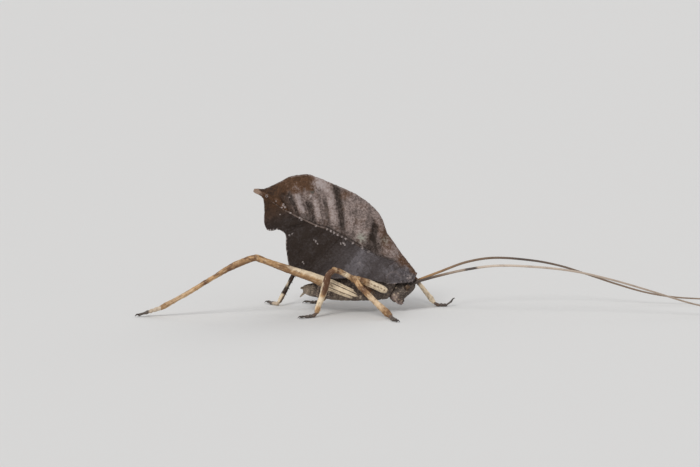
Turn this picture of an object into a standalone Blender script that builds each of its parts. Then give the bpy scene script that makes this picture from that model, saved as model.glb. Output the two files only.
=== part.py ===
"""Leaf-mimic katydid, life size, standing on its six feet.

The head points along +X, the right side faces -Y and +Z is up. The insect is worked out in
millimetres round the middle of its thorax. At the end each mesh is turned into metres and the whole
insect is moved so that the origin lies on the floor under the middle of its bounding box.
"""

import math

import bmesh
import bpy
import numpy as np
from mathutils import Matrix, Vector

METRES = 0.001
GAP = 0.3

# Forewing, along and across its midrib, which climbs backwards from the shoulder.
WING_LENGTH = 30.8
WING_ROOT = (3.8, 10.15)
WING_PITCH = math.radians(28.3)
WING_THICKNESS = 0.5
WING_TOP_EDGE = (
    (-1.62, 2.47), (0.1, 3.6), (1.9, 4.6), (3.2, 5.0), (4.6, 6.3), (6.3, 7.8), (8.4, 8.55), (12.0, 8.75),
    (15.5, 8.8), (19.0, 8.5), (22.2, 7.95), (24.6, 6.8), (26.0, 5.6), (27.3, 3.9), (28.0, 2.5), (28.9, 1.0),
    (30.8, 0.45),
)
WING_LOW_EDGE = (
    (-1.37, -3.9), (2.4, -5.1), (5.1, -6.2), (8.9, -8.4), (12.4, -10.3), (14.8, -10.9), (16.9, -10.4),
    (18.0, -9.3), (18.9, -7.3), (20.0, -6.4), (20.5, -5.3), (21.5, -4.4), (22.9, -4.6), (23.8, -5.6),
    (24.7, -5.7), (25.8, -4.6), (26.7, -3.5), (27.6, -1.6), (28.6, -0.95), (30.8, -0.5),
)
# Where a cross vein that leaves the midrib at the first number meets the edge, both along the midrib.
VEIN_TOP_END = ((0.0, -1.62), (5.6, 7.1), (11.2, 16.4), (17.2, 23.8), (22.1, 27.7), (26.5, 29.3), (30.4, 30.8))
VEIN_LOW_END = ((0.0, -1.37), (5.0, 5.4), (9.0, 11.0), (13.0, 16.6), (17.0, 20.6), (22.0, 25.2), (26.5, 28.6),
                (30.4, 30.8))
VEINS = (2.4, 5.6, 8.4, 11.2, 14.2, 17.2, 20.2, 22.8, 25.4)
VALLEY_DEPTHS = (0.35, 1.05, 0.3, 1.0, 0.5, 0.95, 0.5, 0.7, 0.3)
PLEAT_SWELL = 0.55
VEIN_HEIGHT = 0.14
VEIN_HALF_WIDTH = 0.38
VALLEY_WIDTH = 1.1
MIDRIB_HEIGHT = 0.25
WING_ROWS = (-1.0, -0.86, -0.68, -0.5, -0.32, -0.16, -0.06, 0.0, 0.06, 0.16, 0.32, 0.5, 0.68, 0.84, 0.94, 1.0)
# Distance of the wing's middle surface from the mid-plane, at its top and along its lower edge.
CREST_OFFSET = 0.42
SIDE_OFFSET = ((-1.6, 3.1), (3.0, 3.25), (9.0, 2.95), (15.0, 2.2), (19.0, 1.6), (24.0, 1.05), (30.8, 0.6))
ROOF_CURVE = ((0.0, 0.72), (7.0, 0.85), (13.0, 1.0))

# Rear margin of the pronotum, height against length, which the forewings meet.
SHOULDER = ((5.9, 3.25), (7.6, 3.15), (8.8, 3.25), (9.8, 4.0), (10.4, 5.2), (11.1, 6.4))
PRONOTUM_THICKNESS = 0.6
PRONOTUM_SWELL = 0.18
PRONOTUM_SAG = 0.14
# Rear and front arches of the pronotum from its ridge down: half width, height, and length at the front.
PRONOTUM_REAR = ((0.0, 11.1), (0.95, 10.9), (1.8, 10.35), (2.5, 9.6), (3.0, 8.3), (3.25, 7.1), (3.35, 5.9))
PRONOTUM_FRONT = (
    (0.0, 7.3, 9.35), (0.42, 7.27, 9.32), (0.8, 7.15, 9.22), (1.12, 6.98, 9.05), (1.4, 6.75, 8.9),
    (1.6, 6.5, 8.72), (1.75, 6.2, 8.5),
)

# Tubercles along the shield's shoulders: steps down from the ridge, and place from rear to front.
TUBERCLES = ((2, 0.08), (2, 0.36), (2, 0.66), (1, 0.94), (4, 0.28), (5, 0.62), (3, 0.5))

# Hind wings folded into one blade between the forewings: lower and upper edge, length and height.
HINDWING = (
    (2.2, 9.95, 1.9, 10.55), (0.2, 9.72, -0.6, 11.9), (-1.6, 9.25, -3.2, 13.2), (-3.4, 9.1, -5.6, 14.5),
    (-6.6, 9.9, -8.2, 15.9), (-10.4, 12.6, -11.2, 17.5), (-13.2, 16.4, -13.6, 18.7),
)
HINDWING_HALF = 0.35

# Trunk sections: length, underside, top, half width.
THORAX = (
    (-2.4, 2.2, 8.3, 2.3), (-1.2, 2.1, 8.9, 2.5), (0.4, 2.15, 9.4, 2.55), (2.0, 2.3, 9.6, 2.5),
    (3.6, 2.5, 9.2, 2.3), (5.2, 3.4, 8.6, 1.9), (6.6, 5.2, 8.0, 1.3),
)
ABDOMEN = ((-2.7, 2.1, 8.1, 2.25), (-6.5, 2.25, 7.0, 2.1), (-10.5, 2.8, 5.7, 1.7), (-13.0, 3.5, 5.2, 1.1))
ABDOMEN_RINGS = 9
RING_LIP = 0.12
# Plane between the thorax and the head.
NECK_POINT = (4.5, 0.0, 4.5)
NECK_NORMAL = (0.9, 0.0, -0.44)

# Head, eyes and feelers.
HEAD_CENTRE = (6.35, 0.0, 4.15)
HEAD_HALF = (2.75, 2.0, 2.35)
EYE_CENTRE = (7.45, 1.72, 5.0)
EYE_RADIUS = 0.72
SCAPE_ROOT = (8.5, 0.55, 5.55)
SCAPE_END = (9.75, 0.85, 6.3)
SCAPE_RADIUS = 0.42
FEELER_ROOT_RADIUS = 0.27
FEELER_TIP_RADIUS = 0.16
FEELER_SIDES = 8
FEELER_LENGTHS = 3
FEELER_ROUTES = {
    "right": (
        (9.75, -0.85, 6.3), (13.7, -2.2, 7.5), (19.0, -4.0, 8.95), (25.1, -5.4, 9.95), (32.8, -6.3, 9.85),
        (40.4, -6.8, 9.05), (48.0, -7.0, 7.35), (55.7, -7.0, 5.1), (63.4, -6.8, 2.7), (68.5, -6.5, 1.6),
        (73.0, -6.1, 1.2),
    ),
    "left": (
        (9.75, 0.85, 6.3), (13.7, 2.6, 7.7), (19.4, 4.7, 9.35), (25.1, 6.2, 9.8), (32.8, 7.6, 9.05),
        (38.5, 8.1, 7.95), (44.0, 8.3, 6.2), (50.0, 8.2, 4.2), (56.0, 7.9, 2.5), (62.0, 7.5, 1.55),
        (69.5, 6.9, 1.2),
    ),
}

# Legs: coxa root and hip, knee and ankle, heading of the foot in degrees from +X towards +Y.
LEGS = {
    "fore_right": {"root": (3.0, -1.4, 4.5), "hip": (3.2, -3.5, 4.4), "knee": (-2.7, -6.4, 7.0),
                   "ankle": (3.9, -10.2, 1.0), "heading": -70, "foot": 0.85},
    "fore_left": {"root": (3.0, 1.4, 4.5), "hip": (3.2, 3.5, 4.4), "knee": (6.9, 8.6, 8.2),
                  "ankle": (12.9, 5.2, 1.0), "heading": 6, "foot": 0.85, "claw_lift": 1.3},
    "mid_right": {"root": (0.4, -1.4, 4.5), "hip": (0.2, -3.3, 4.2), "knee": (-7.1, -6.3, 9.4),
                  "ankle": (-10.5, -7.5, 1.0), "heading": 214, "foot": 0.85},
    "mid_left": {"root": (0.4, 1.4, 4.5), "hip": (0.4, 3.3, 4.2), "knee": (-3.2, 9.6, 8.6),
                 "ankle": (-9.3, 8.6, 1.0), "heading": 170, "foot": 0.85},
    "hind_right": {"root": (-1.2, -1.2, 3.8), "hip": (-1.7, -3.5, 3.2), "knee": (-22.3, -6.4, 11.3),
                   "ankle": (-42.4, -7.0, 1.2), "heading": 184, "foot": 0.92},
    "hind_left": {"root": (-1.2, 1.2, 3.8), "hip": (-1.7, 3.5, 3.2), "knee": (-8.2, 15.3, 19.6),
                  "ankle": (-18.2, 5.8, 1.1), "heading": 128, "foot": 0.92},
}
# Half breadth and half depth of a leg piece along its length, from 0 at its root joint to 1.
HIP_DEPTH = 0.35
COXA_SIZE = ((0.0, 0.85, 0.95), (0.6, 0.8, 0.85), (1.0, 0.55, 0.6))
FEMUR_SIZE = {
    "fore": ((0.0, 0.55, 0.65), (0.2, 0.7, 0.88), (0.7, 0.65, 0.85), (0.92, 0.5, 0.6), (1.0, 0.55, 0.6)),
    "mid": ((0.0, 0.5, 0.6), (0.25, 0.55, 0.7), (0.7, 0.45, 0.55), (0.92, 0.45, 0.5), (1.0, 0.5, 0.55)),
    "hind": ((0.0, 0.6, 0.7), (0.08, 0.8, 1.05), (0.22, 0.85, 1.22), (0.45, 0.75, 1.08), (0.7, 0.6, 0.9),
             (0.9, 0.5, 0.7), (0.97, 0.55, 0.76), (1.0, 0.55, 0.7)),
}
TIBIA_SIZE = {
    "fore": ((0.0, 0.5, 0.55), (0.12, 0.5, 0.6), (0.4, 0.45, 0.52), (0.8, 0.5, 0.62), (0.94, 0.55, 0.75),
             (1.0, 0.45, 0.5)),
    "mid": ((0.0, 0.5, 0.55), (0.12, 0.5, 0.62), (0.35, 0.5, 0.68), (0.7, 0.42, 0.5), (0.93, 0.45, 0.55),
            (1.0, 0.42, 0.45)),
    "hind": ((0.0, 0.55, 0.72), (0.08, 0.52, 0.72), (0.2, 0.52, 0.78), (0.33, 0.47, 0.62), (0.6, 0.4, 0.5),
             (0.85, 0.42, 0.52), (0.96, 0.48, 0.6), (1.0, 0.42, 0.48)),
}
# How far the middle of a piece is bowed upwards.
FEMUR_BOW = {"fore": 0.15, "mid": 0.3, "hind": 0.45}
TIBIA_BOW = {"fore": 0.0, "mid": 0.35, "hind": 1.1}
SPINE_ROWS = {"fore": 3, "mid": 3, "hind": 8}
SPINE_LENGTH = 0.45
SPINE_RADIUS = 0.18
LEG_SIDES = 10
# Foot: distance along it, height of the centre, half width and half height.
FOOT = (
    (0.0, 1.0, 0.42, 0.45), (0.45, 0.72, 0.42, 0.42), (1.05, 0.42, 0.56, 0.46), (1.5, 0.36, 0.4, 0.34),
    (1.95, 0.38, 0.56, 0.42), (2.3, 0.34, 0.42, 0.3), (2.8, 0.34, 0.74, 0.38), (3.15, 0.32, 0.6, 0.28),
    (3.35, 0.4, 0.3, 0.24), (3.9, 0.46, 0.27, 0.24), (4.4, 0.42, 0.3, 0.26),
)
CLAW_ROOT = (4.25, 0.14, 0.42)
CLAW_TIP = (5.2, 0.42, 0.14)

MATERIALS = {
    "wing": ((0.06, 0.045, 0.04), 0.62),
    "shield": ((0.11, 0.08, 0.065), 0.6),
    "body": ((0.13, 0.09, 0.07), 0.6),
    "head": ((0.12, 0.085, 0.07), 0.55),
    "eye": ((0.1, 0.055, 0.03), 0.2),
    "leg": ((0.5, 0.33, 0.19), 0.55),
    "foot": ((0.2, 0.15, 0.12), 0.55),
    "feeler": ((0.38, 0.25, 0.13), 0.5),
}


def clear_scene():
    for obj in list(bpy.data.objects):
        bpy.data.objects.remove(obj)


def new_collection(name):
    group = bpy.data.collections.new(name)
    bpy.context.scene.collection.children.link(group)
    return group


def make_materials():
    made = {}
    for name, (colour, roughness) in MATERIALS.items():
        material = bpy.data.materials.new(name)
        material.use_nodes = True
        shader = material.node_tree.nodes["Principled BSDF"]
        shader.inputs["Base Color"].default_value = (*colour, 1.0)
        shader.inputs["Roughness"].default_value = roughness
        shader.inputs["Metallic"].default_value = 0.0
        made[name] = material
    return made


def eased(points, value):
    """The smooth curve through (position, value) points, read at one position."""
    places = [p[0] for p in points]
    heights = [p[1] for p in points]
    value = min(max(value, places[0]), places[-1])
    span = min(max(int(np.searchsorted(places, value)) - 1, 0), len(places) - 2)

    def slope(i):
        before, after = max(i - 1, 0), min(i + 1, len(places) - 1)
        return (heights[after] - heights[before]) / (places[after] - places[before])

    width = places[span + 1] - places[span]
    t = (value - places[span]) / width
    rise, fall = t * t * (3 - 2 * t), 1 - t * t * (3 - 2 * t)
    start_pull = (t - 2 * t * t + t**3) * width * slope(span)
    end_pull = (t**3 - t * t) * width * slope(span + 1)
    return fall * heights[span] + rise * heights[span + 1] + start_pull + end_pull


def straight(points, value):
    """The sizes at one position of a table whose first column is the position."""
    places = [p[0] for p in points]
    return [float(np.interp(value, places, [p[i] for p in points])) for i in range(1, len(points[0]))]


def mirrored(point, side):
    return Vector((point[0], point[1] * side, point[2]))


class Kit:
    """Makes mesh objects in the insect's collection, with their materials."""

    def __init__(self):
        self.group = new_collection("leaf_mimic_katydid")
        self.materials = make_materials()

    def add(self, name, mesh, material, group=None):
        mesh.materials.clear()
        mesh.materials.append(self.materials[material])
        obj = bpy.data.objects.new(name, mesh)
        (group or self.group).objects.link(obj)
        return obj

    def from_bmesh(self, name, bm, material, group=None):
        bmesh.ops.recalc_face_normals(bm, faces=bm.faces)
        mesh = bpy.data.meshes.new(name)
        bm.to_mesh(mesh)
        bm.free()
        mesh.shade_smooth()
        return self.add(name, mesh, material, group)

    def apply_modifiers(self, obj):
        graph = bpy.context.evaluated_depsgraph_get()
        mesh = bpy.data.meshes.new_from_object(obj.evaluated_get(graph))
        obj.modifiers.clear()
        obj.data = mesh

    def boolean(self, obj, operation, operand):
        """Applies one Boolean and removes what it used, an object or a whole collection."""
        modifier = obj.modifiers.new(operation.lower(), "BOOLEAN")
        modifier.operation = operation
        modifier.solver = "EXACT"
        if isinstance(operand, bpy.types.Collection):
            modifier.operand_type = "COLLECTION"
            modifier.collection = operand
        else:
            modifier.object = operand
        self.apply_modifiers(obj)
        if isinstance(operand, bpy.types.Collection):
            for used in list(operand.objects):
                bpy.data.objects.remove(used)
            bpy.data.collections.remove(operand)
        else:
            bpy.data.objects.remove(operand)


def ring_points(centre, side, lift, half_side, half_lift, count, square=2.0):
    """Points round a rounded section: an ellipse at square 2, boxier above it."""
    points = []
    for i in range(count):
        angle = 2 * math.pi * (i + 0.5) / count
        c, s = math.cos(angle), math.sin(angle)
        across = math.copysign(abs(c) ** (2 / square), c) * half_side
        up = math.copysign(abs(s) ** (2 / square), s) * half_lift
        points.append(centre + side * across + lift * up)
    return points


def loft(rings):
    """A closed skin over rings with the same number of points, capped at both ends."""
    bm = bmesh.new()
    loops = [[bm.verts.new(p) for p in ring] for ring in rings]
    count = len(loops[0])
    for first, second in zip(loops, loops[1:]):
        for i in range(count):
            j = (i + 1) % count
            bm.faces.new((first[i], first[j], second[j], second[i]))
    bm.faces.new(loops[0][::-1])
    bm.faces.new(loops[-1])
    return bm


def cut_away(bm, point, normal):
    """Cuts off what lies beyond a plane, on the side its normal points to, and closes the cut."""
    geometry = bm.verts[:] + bm.edges[:] + bm.faces[:]
    cut = bmesh.ops.bisect_plane(bm, geom=geometry, plane_co=point, plane_no=normal, clear_outer=True)
    edges = [e for e in cut["geom_cut"] if isinstance(e, bmesh.types.BMEdge)]
    bmesh.ops.edgeloop_fill(bm, edges=edges)


def joint_plane(joint, toward_kept, toward_other):
    """The plane that halves the angle at a joint, moved half a gap into the piece that is kept."""
    normal = (toward_other.normalized() - toward_kept.normalized()).normalized()
    return joint - normal * (GAP / 2), normal


def limb_rings(start, end, sizes, bow, square=2.4):
    """Rings of a leg piece from joint to joint, with a round end past each joint."""
    axis = (end - start).normalized()
    side = axis.cross(Vector((0, 0, 1))).normalized()
    lift = side.cross(axis).normalized()
    length = (end - start).length
    rings = []

    def add(along, half_side, half_lift, raise_by=0.0):
        centre = start + axis * along + lift * raise_by
        rings.append(ring_points(centre, side, lift, half_side, half_lift, LEG_SIDES, square))

    first, last = sizes[0], sizes[-1]
    for turn in (math.radians(72), math.radians(38)):
        add(-math.sin(turn) * first[2], first[1] * math.cos(turn), first[2] * math.cos(turn))
    for place, half_side, half_lift in sizes:
        add(place * length, half_side, half_lift, bow * math.sin(math.pi * place))
    for turn in (math.radians(38), math.radians(72)):
        add(length + math.sin(turn) * last[2], last[1] * math.cos(turn), last[2] * math.cos(turn))
    return rings


def add_spines(kit, obj, start, end, sizes, rows, bow):
    """Two rows of short spines under a tibia, rooted well inside it and leaning towards the foot."""
    axis = (end - start).normalized()
    side = axis.cross(Vector((0, 0, 1))).normalized()
    lift = side.cross(axis).normalized()
    length = (end - start).length
    spines = new_collection("spines")
    for i in range(rows):
        place = 0.3 + 0.6 * i / max(rows - 1, 1)
        half_side, half_lift = straight(sizes, place)
        for sign in (-1, 1):
            middle = start + axis * (place * length) + lift * bow * math.sin(math.pi * place)
            out = (side * sign * 0.75 - lift * 0.65 + axis * 0.55).normalized()
            reach = 0.55 * min(half_side, half_lift)
            root = middle + side * sign * 0.45 * half_side - lift * 0.45 * half_lift
            bm = bmesh.new()
            depth = SPINE_LENGTH + reach
            bmesh.ops.create_cone(bm, cap_ends=True, segments=5, radius1=SPINE_RADIUS, radius2=0.03, depth=depth)
            turn = out.to_track_quat("Z", "Y").to_matrix().to_4x4()
            bmesh.ops.transform(bm, matrix=Matrix.Translation(root + out * depth / 2) @ turn, verts=bm.verts)
            kit.from_bmesh(f"spine_{i}_{sign}", bm, "leg", spines)
    kit.boolean(obj, "UNION", spines)


def make_leg(kit, name, plan, thorax_cutter):
    kind = name.split("_")[0]
    root, hip, knee, ankle = (Vector(plan[k]) for k in ("root", "hip", "knee", "ankle"))
    turn = Matrix.Rotation(math.radians(plan["heading"]), 4, "Z")
    foot_way = turn @ Vector((0.6, 0.0, -0.35))

    reach = (hip - root).normalized()
    seat = hip - reach * HIP_DEPTH
    bm = loft(limb_rings(root, hip, COXA_SIZE, 0.0))
    cut_away(bm, seat - reach * GAP / 2, reach)
    coxa = kit.from_bmesh(f"coxa_{name}", bm, "body")
    kit.boolean(coxa, "DIFFERENCE", thorax_cutter())

    bm = loft(limb_rings(hip, knee, FEMUR_SIZE[kind], FEMUR_BOW[kind]))
    cut_away(bm, seat + reach * GAP / 2, -reach)
    cut_away(bm, *joint_plane(knee, hip - knee, ankle - knee))
    kit.from_bmesh(f"femur_{name}", bm, "leg")

    bm = loft(limb_rings(knee, ankle, TIBIA_SIZE[kind], TIBIA_BOW[kind]))
    cut_away(bm, *joint_plane(knee, ankle - knee, hip - knee))
    cut_away(bm, *joint_plane(ankle, knee - ankle, foot_way))
    tibia = kit.from_bmesh(f"tibia_{name}", bm, "leg")
    add_spines(kit, tibia, knee, ankle, TIBIA_SIZE[kind], SPINE_ROWS[kind], TIBIA_BOW[kind])

    make_foot(kit, name, plan, turn, joint_plane(ankle, foot_way, knee - ankle))


def make_foot(kit, name, plan, turn, ankle_plane):
    """Four pads, a claw joint and two claws on the floor, with a flat sole."""
    ankle = Vector(plan["ankle"])
    size = plan["foot"]
    lift = plan.get("claw_lift", 0.0)
    across = turn @ Vector((0, 1, 0))
    up = Vector((0, 0, 1))
    rings = []
    for place, height, half_width, half_height in FOOT:
        height = ankle.z if place == 0 else height * size + lift * max(0.0, (place - 3.1) / 2.1) ** 1.3
        centre = Vector((ankle.x, ankle.y, height)) + turn @ Vector((place * size, 0, 0))
        rings.append(ring_points(centre, across, up, half_width * size, half_height * size, LEG_SIDES, 2.2))
    back = turn @ Vector((-0.42 * size, 0, 0.2))
    first = Vector((ankle.x, ankle.y, ankle.z)) + back
    rings.insert(0, ring_points(first, across, up, 0.25 * size, 0.25 * size, LEG_SIDES, 2.2))
    bm = loft(rings)
    cut_away(bm, *ankle_plane)
    cut_away(bm, Vector((0, 0, 0)), Vector((0, 0, -1)))
    foot = kit.from_bmesh(f"tarsus_{name}", bm, "foot")
    claws = new_collection("claws")
    for sign in (-1, 1):
        root = turn @ (mirrored(CLAW_ROOT, sign) * size) + up * lift * 0.5
        tip = turn @ (mirrored(CLAW_TIP, sign) * size) + up * lift * 1.2
        axis = tip - root
        bm = bmesh.new()
        bmesh.ops.create_cone(bm, cap_ends=True, segments=5, radius1=0.16, radius2=0.05, depth=axis.length)
        spin = axis.to_track_quat("Z", "Y").to_matrix().to_4x4()
        base = Vector((ankle.x, ankle.y, 0))
        bmesh.ops.transform(bm, matrix=Matrix.Translation(base + (root + tip) / 2) @ spin, verts=bm.verts)
        kit.from_bmesh(f"claw_{sign}", bm, "foot", claws)
    kit.boolean(foot, "UNION", claws)


def trunk_rings(sections, grow=0.0, count=16):
    side, up = Vector((0, 1, 0)), Vector((0, 0, 1))
    rings = []
    for i, (x, low, high, half_width) in enumerate(sections):
        if i in (0, len(sections) - 1):
            x += math.copysign(grow, x - sections[len(sections) // 2][0])
        centre = Vector((x, 0, (low + high) / 2))
        rings.append(ring_points(centre, side, up, half_width + grow, (high - low) / 2 + grow, count, 2.2))
    return rings


def make_thorax(kit):
    neck, normal = Vector(NECK_POINT), Vector(NECK_NORMAL).normalized()
    bm = loft(trunk_rings(THORAX))
    cut_away(bm, neck, normal)
    kit.from_bmesh("thorax", bm, "body")


def thorax_cutter_maker(kit):
    """Gives copies of the thorax grown by the gap, for cutting the coxae."""
    cutters = new_collection("cutters")
    cutters.hide_render = True

    def make():
        obj = kit.from_bmesh("thorax_cutter", loft(trunk_rings(THORAX, GAP)), "body", cutters)
        obj.hide_render = True
        obj.display_type = "WIRE"
        return obj

    return make, cutters


def make_abdomen(kit):
    """Nine rings, each a little wider at its rear lip, then the last small plate."""
    first, last = ABDOMEN[0][0], ABDOMEN[-1][0]
    sections = []
    for i in range(ABDOMEN_RINGS):
        for share, lip in ((0.04, 0.0), (0.96, RING_LIP)):
            x = first + (last - first) * (i + share) / ABDOMEN_RINGS
            low, high, half_width = straight(ABDOMEN[::-1], x)
            sections.append((x, low - lip, high + lip, half_width + lip))
    sections.append((last - 0.35, 3.9, 5.0, 0.6))
    kit.from_bmesh("abdomen", loft(trunk_rings(sections, count=14)), "body")


def taper(kit, name, material, points, radii, flat=1.0, sides=8):
    """A tapering round or flattened piece along a few points, with flat ends."""
    points = [Vector(p) for p in points]
    rings = []
    for i, point in enumerate(points):
        ahead = points[min(i + 1, len(points) - 1)] - points[max(i - 1, 0)]
        axis = ahead.normalized()
        side = Vector((0, 1, 0))
        if abs(axis.dot(side)) > 0.9:
            side = Vector((1, 0, 0))
        lift = axis.cross(side).normalized()
        side = lift.cross(axis).normalized()
        rings.append(ring_points(point, side, lift, radii[i], radii[i] * flat, sides))
    return kit.from_bmesh(name, loft(rings), material)


def make_abdomen_end(kit):
    """The plate under the abdomen's tip and the two short cerci above it."""
    tip_x = ABDOMEN[-1][0] - 0.35
    taper(kit, "subgenital_plate", "body",
          ((tip_x - 0.55, 0, 4.15), (tip_x - 0.85, 0, 3.5), (tip_x - 1.2, 0, 2.8)), (0.5, 0.45, 0.2), 0.6)
    for word, side in (("right", -1), ("left", 1)):
        taper(kit, f"cercus_{word}", "body",
              ((tip_x - 1.2 * GAP, 0.45 * side, 4.8), (tip_x - 0.9, 0.6 * side, 5.0), (tip_x - 1.5, 0.4 * side, 5.1)),
              (0.27, 0.25, 0.12))


def pronotum_point(i, t):
    """A point of the shield's outer surface, i steps down from the ridge and t from rear to front."""
    y0, z0 = PRONOTUM_REAR[abs(i)]
    y1, z1, x1 = PRONOTUM_FRONT[abs(i)]
    x0 = eased(SHOULDER, z0)
    swell = PRONOTUM_SWELL * math.sin(math.pi * t) * (abs(i) / 6)
    sag = PRONOTUM_SAG * math.sin(math.pi * t) * (1 - abs(i) / 6)
    y = y0 + (y1 - y0) * t + swell
    return Vector((x0 + (x1 - x0) * t, math.copysign(y, i), z0 + (z1 - z0) * t - sag))


def make_pronotum(kit):
    """A saddle-shaped shield: an open arch between its rear and front margins, given its thickness."""
    bm = bmesh.new()
    steps = 5
    columns = []
    for i in range(-len(PRONOTUM_REAR) + 1, len(PRONOTUM_REAR)):
        columns.append([bm.verts.new(pronotum_point(i, k / steps)) for k in range(steps + 1)])
    for first, second in zip(columns, columns[1:]):
        for k in range(steps):
            bm.faces.new((first[k], first[k + 1], second[k + 1], second[k]))
    bmesh.ops.triangulate(bm, faces=bm.faces)
    shield = kit.from_bmesh("pronotum", bm, "shield")
    point_outward(shield, Vector((5.5, 0, 6.0)))
    thicken(kit, shield, PRONOTUM_THICKNESS, -1.0)
    tubercles = new_collection("tubercles")
    for i, t in TUBERCLES:
        for side in (-1, 1):
            foot = pronotum_point(i * side, t)
            out = (foot - Vector((foot.x - 1.0, 0, 6.2))).normalized()
            add_cone(kit, tubercles, "tubercle", foot - out * 0.3, foot + out * 0.22, 0.3, 0.12, 6)
    kit.boolean(shield, "UNION", tubercles)


def point_outward(obj, inside):
    """Turns an open sheet's faces away from a point."""
    bm = bmesh.new()
    bm.from_mesh(obj.data)
    total = sum(f.normal.dot(f.calc_center_median() - inside) for f in bm.faces)
    if total < 0:
        bmesh.ops.reverse_faces(bm, faces=bm.faces)
    bm.to_mesh(obj.data)
    bm.free()


def thicken(kit, obj, thickness, offset):
    modifier = obj.modifiers.new("thickness", "SOLIDIFY")
    modifier.thickness = thickness
    modifier.offset = offset
    modifier.use_even_offset = False
    kit.apply_modifiers(obj)


def wing_columns():
    """Places along the midrib: both feet and the top of each vein's ridge, and one between veins."""
    places = [0.0, 0.9]
    for i, vein in enumerate(VEINS):
        places += [vein - VEIN_HALF_WIDTH, vein, vein + VEIN_HALF_WIDTH]
        following = VEINS[i + 1] if i + 1 < len(VEINS) else 27.6
        places.append((vein + following) / 2)
    return places + [27.2, 28.6, 29.6, WING_LENGTH]


def wing_point(along, row):
    """A point of the right forewing's middle surface. Row is -1 at the lower edge, 0 on the midrib, 1 on top."""
    end = eased(VEIN_TOP_END if row > 0 else VEIN_LOW_END, along)
    edge = eased(WING_TOP_EDGE if row > 0 else WING_LOW_EDGE, end)
    u = along + (end - along) * abs(row) ** 1.15
    v = edge * abs(row)
    top, low = eased(WING_TOP_EDGE, u), eased(WING_LOW_EDGE, u)
    x = WING_ROOT[0] - u * math.cos(WING_PITCH) + v * math.sin(WING_PITCH)
    z = WING_ROOT[1] + u * math.sin(WING_PITCH) + v * math.cos(WING_PITCH)
    shift = max(0.0, 1 - along / 5.0)
    if shift:
        start_end = VEIN_TOP_END[0][1] if row > 0 else VEIN_LOW_END[0][1]
        start_edge = eased(WING_TOP_EDGE if row > 0 else WING_LOW_EDGE, start_end)
        u0 = start_end * abs(row) ** 1.15
        v0 = start_edge * abs(row)
        x0 = WING_ROOT[0] - u0 * math.cos(WING_PITCH) + v0 * math.sin(WING_PITCH)
        z0 = WING_ROOT[1] + u0 * math.sin(WING_PITCH) + v0 * math.cos(WING_PITCH)
        x += (eased(SHOULDER, z0) - 1.6 * GAP - x0) * shift
    share = min(max((top - v) / max(top - low, 0.01), 0.0), 1.0)
    roof = eased(ROOF_CURVE, u)
    offset = CREST_OFFSET + (eased(SIDE_OFFSET, u) - CREST_OFFSET) * share**roof
    return x, offset + wing_relief(along, row), z


def wing_relief(along, row):
    """Pleats between the cross veins, the veins' ridges and the midrib's."""
    inner = math.sin(math.pi * min(max(abs(row), 0.0), 1.0)) if row > 0 else 0.0
    fade = min(1.0, along / 2.0) * min(1.0, (WING_LENGTH - along) / 5.0)
    relief = PLEAT_SWELL * inner * fade
    for vein, depth in zip(VEINS, VALLEY_DEPTHS):
        nearness = math.exp(-(((along - vein) / VALLEY_WIDTH) ** 2))
        relief -= depth * nearness * inner * fade
        if abs(along - vein) < 0.01 and 0.04 < abs(row) < 0.97:
            relief += VEIN_HEIGHT * min(1.0, (28 - along) / 6)
    if row == 0:
        relief += MIDRIB_HEIGHT * min(1.0, (WING_LENGTH - along) / 9)
    return max(relief, 0.0) if row > 0.9 else relief


def make_wing(kit, word, side):
    bm = bmesh.new()
    grid = []
    for along in wing_columns():
        column = []
        for row in WING_ROWS:
            x, offset, z = wing_point(along, row)
            column.append(bm.verts.new((x, side * offset, z)))
        grid.append(column)
    for first, second in zip(grid, grid[1:]):
        for k in range(len(WING_ROWS) - 1):
            bm.faces.new((first[k], first[k + 1], second[k + 1], second[k]))
    bmesh.ops.triangulate(bm, faces=bm.faces)
    wing = kit.from_bmesh(f"forewing_{word}", bm, "wing")
    point_outward(wing, Vector((-8, 0, 12)))
    thicken(kit, wing, WING_THICKNESS, 0.0)


def make_hindwings(kit):
    rings = []
    for x0, z0, x1, z1 in HINDWING:
        low, high = Vector((x0, 0, z0)), Vector((x1, 0, z1))
        lift = (high - low).normalized()
        half = (high - low).length / 2
        rings.append(ring_points((low + high) / 2, Vector((0, 1, 0)), lift, HINDWING_HALF, half, 12, 3.0))
    kit.from_bmesh("hindwings", loft(rings), "wing")


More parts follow.
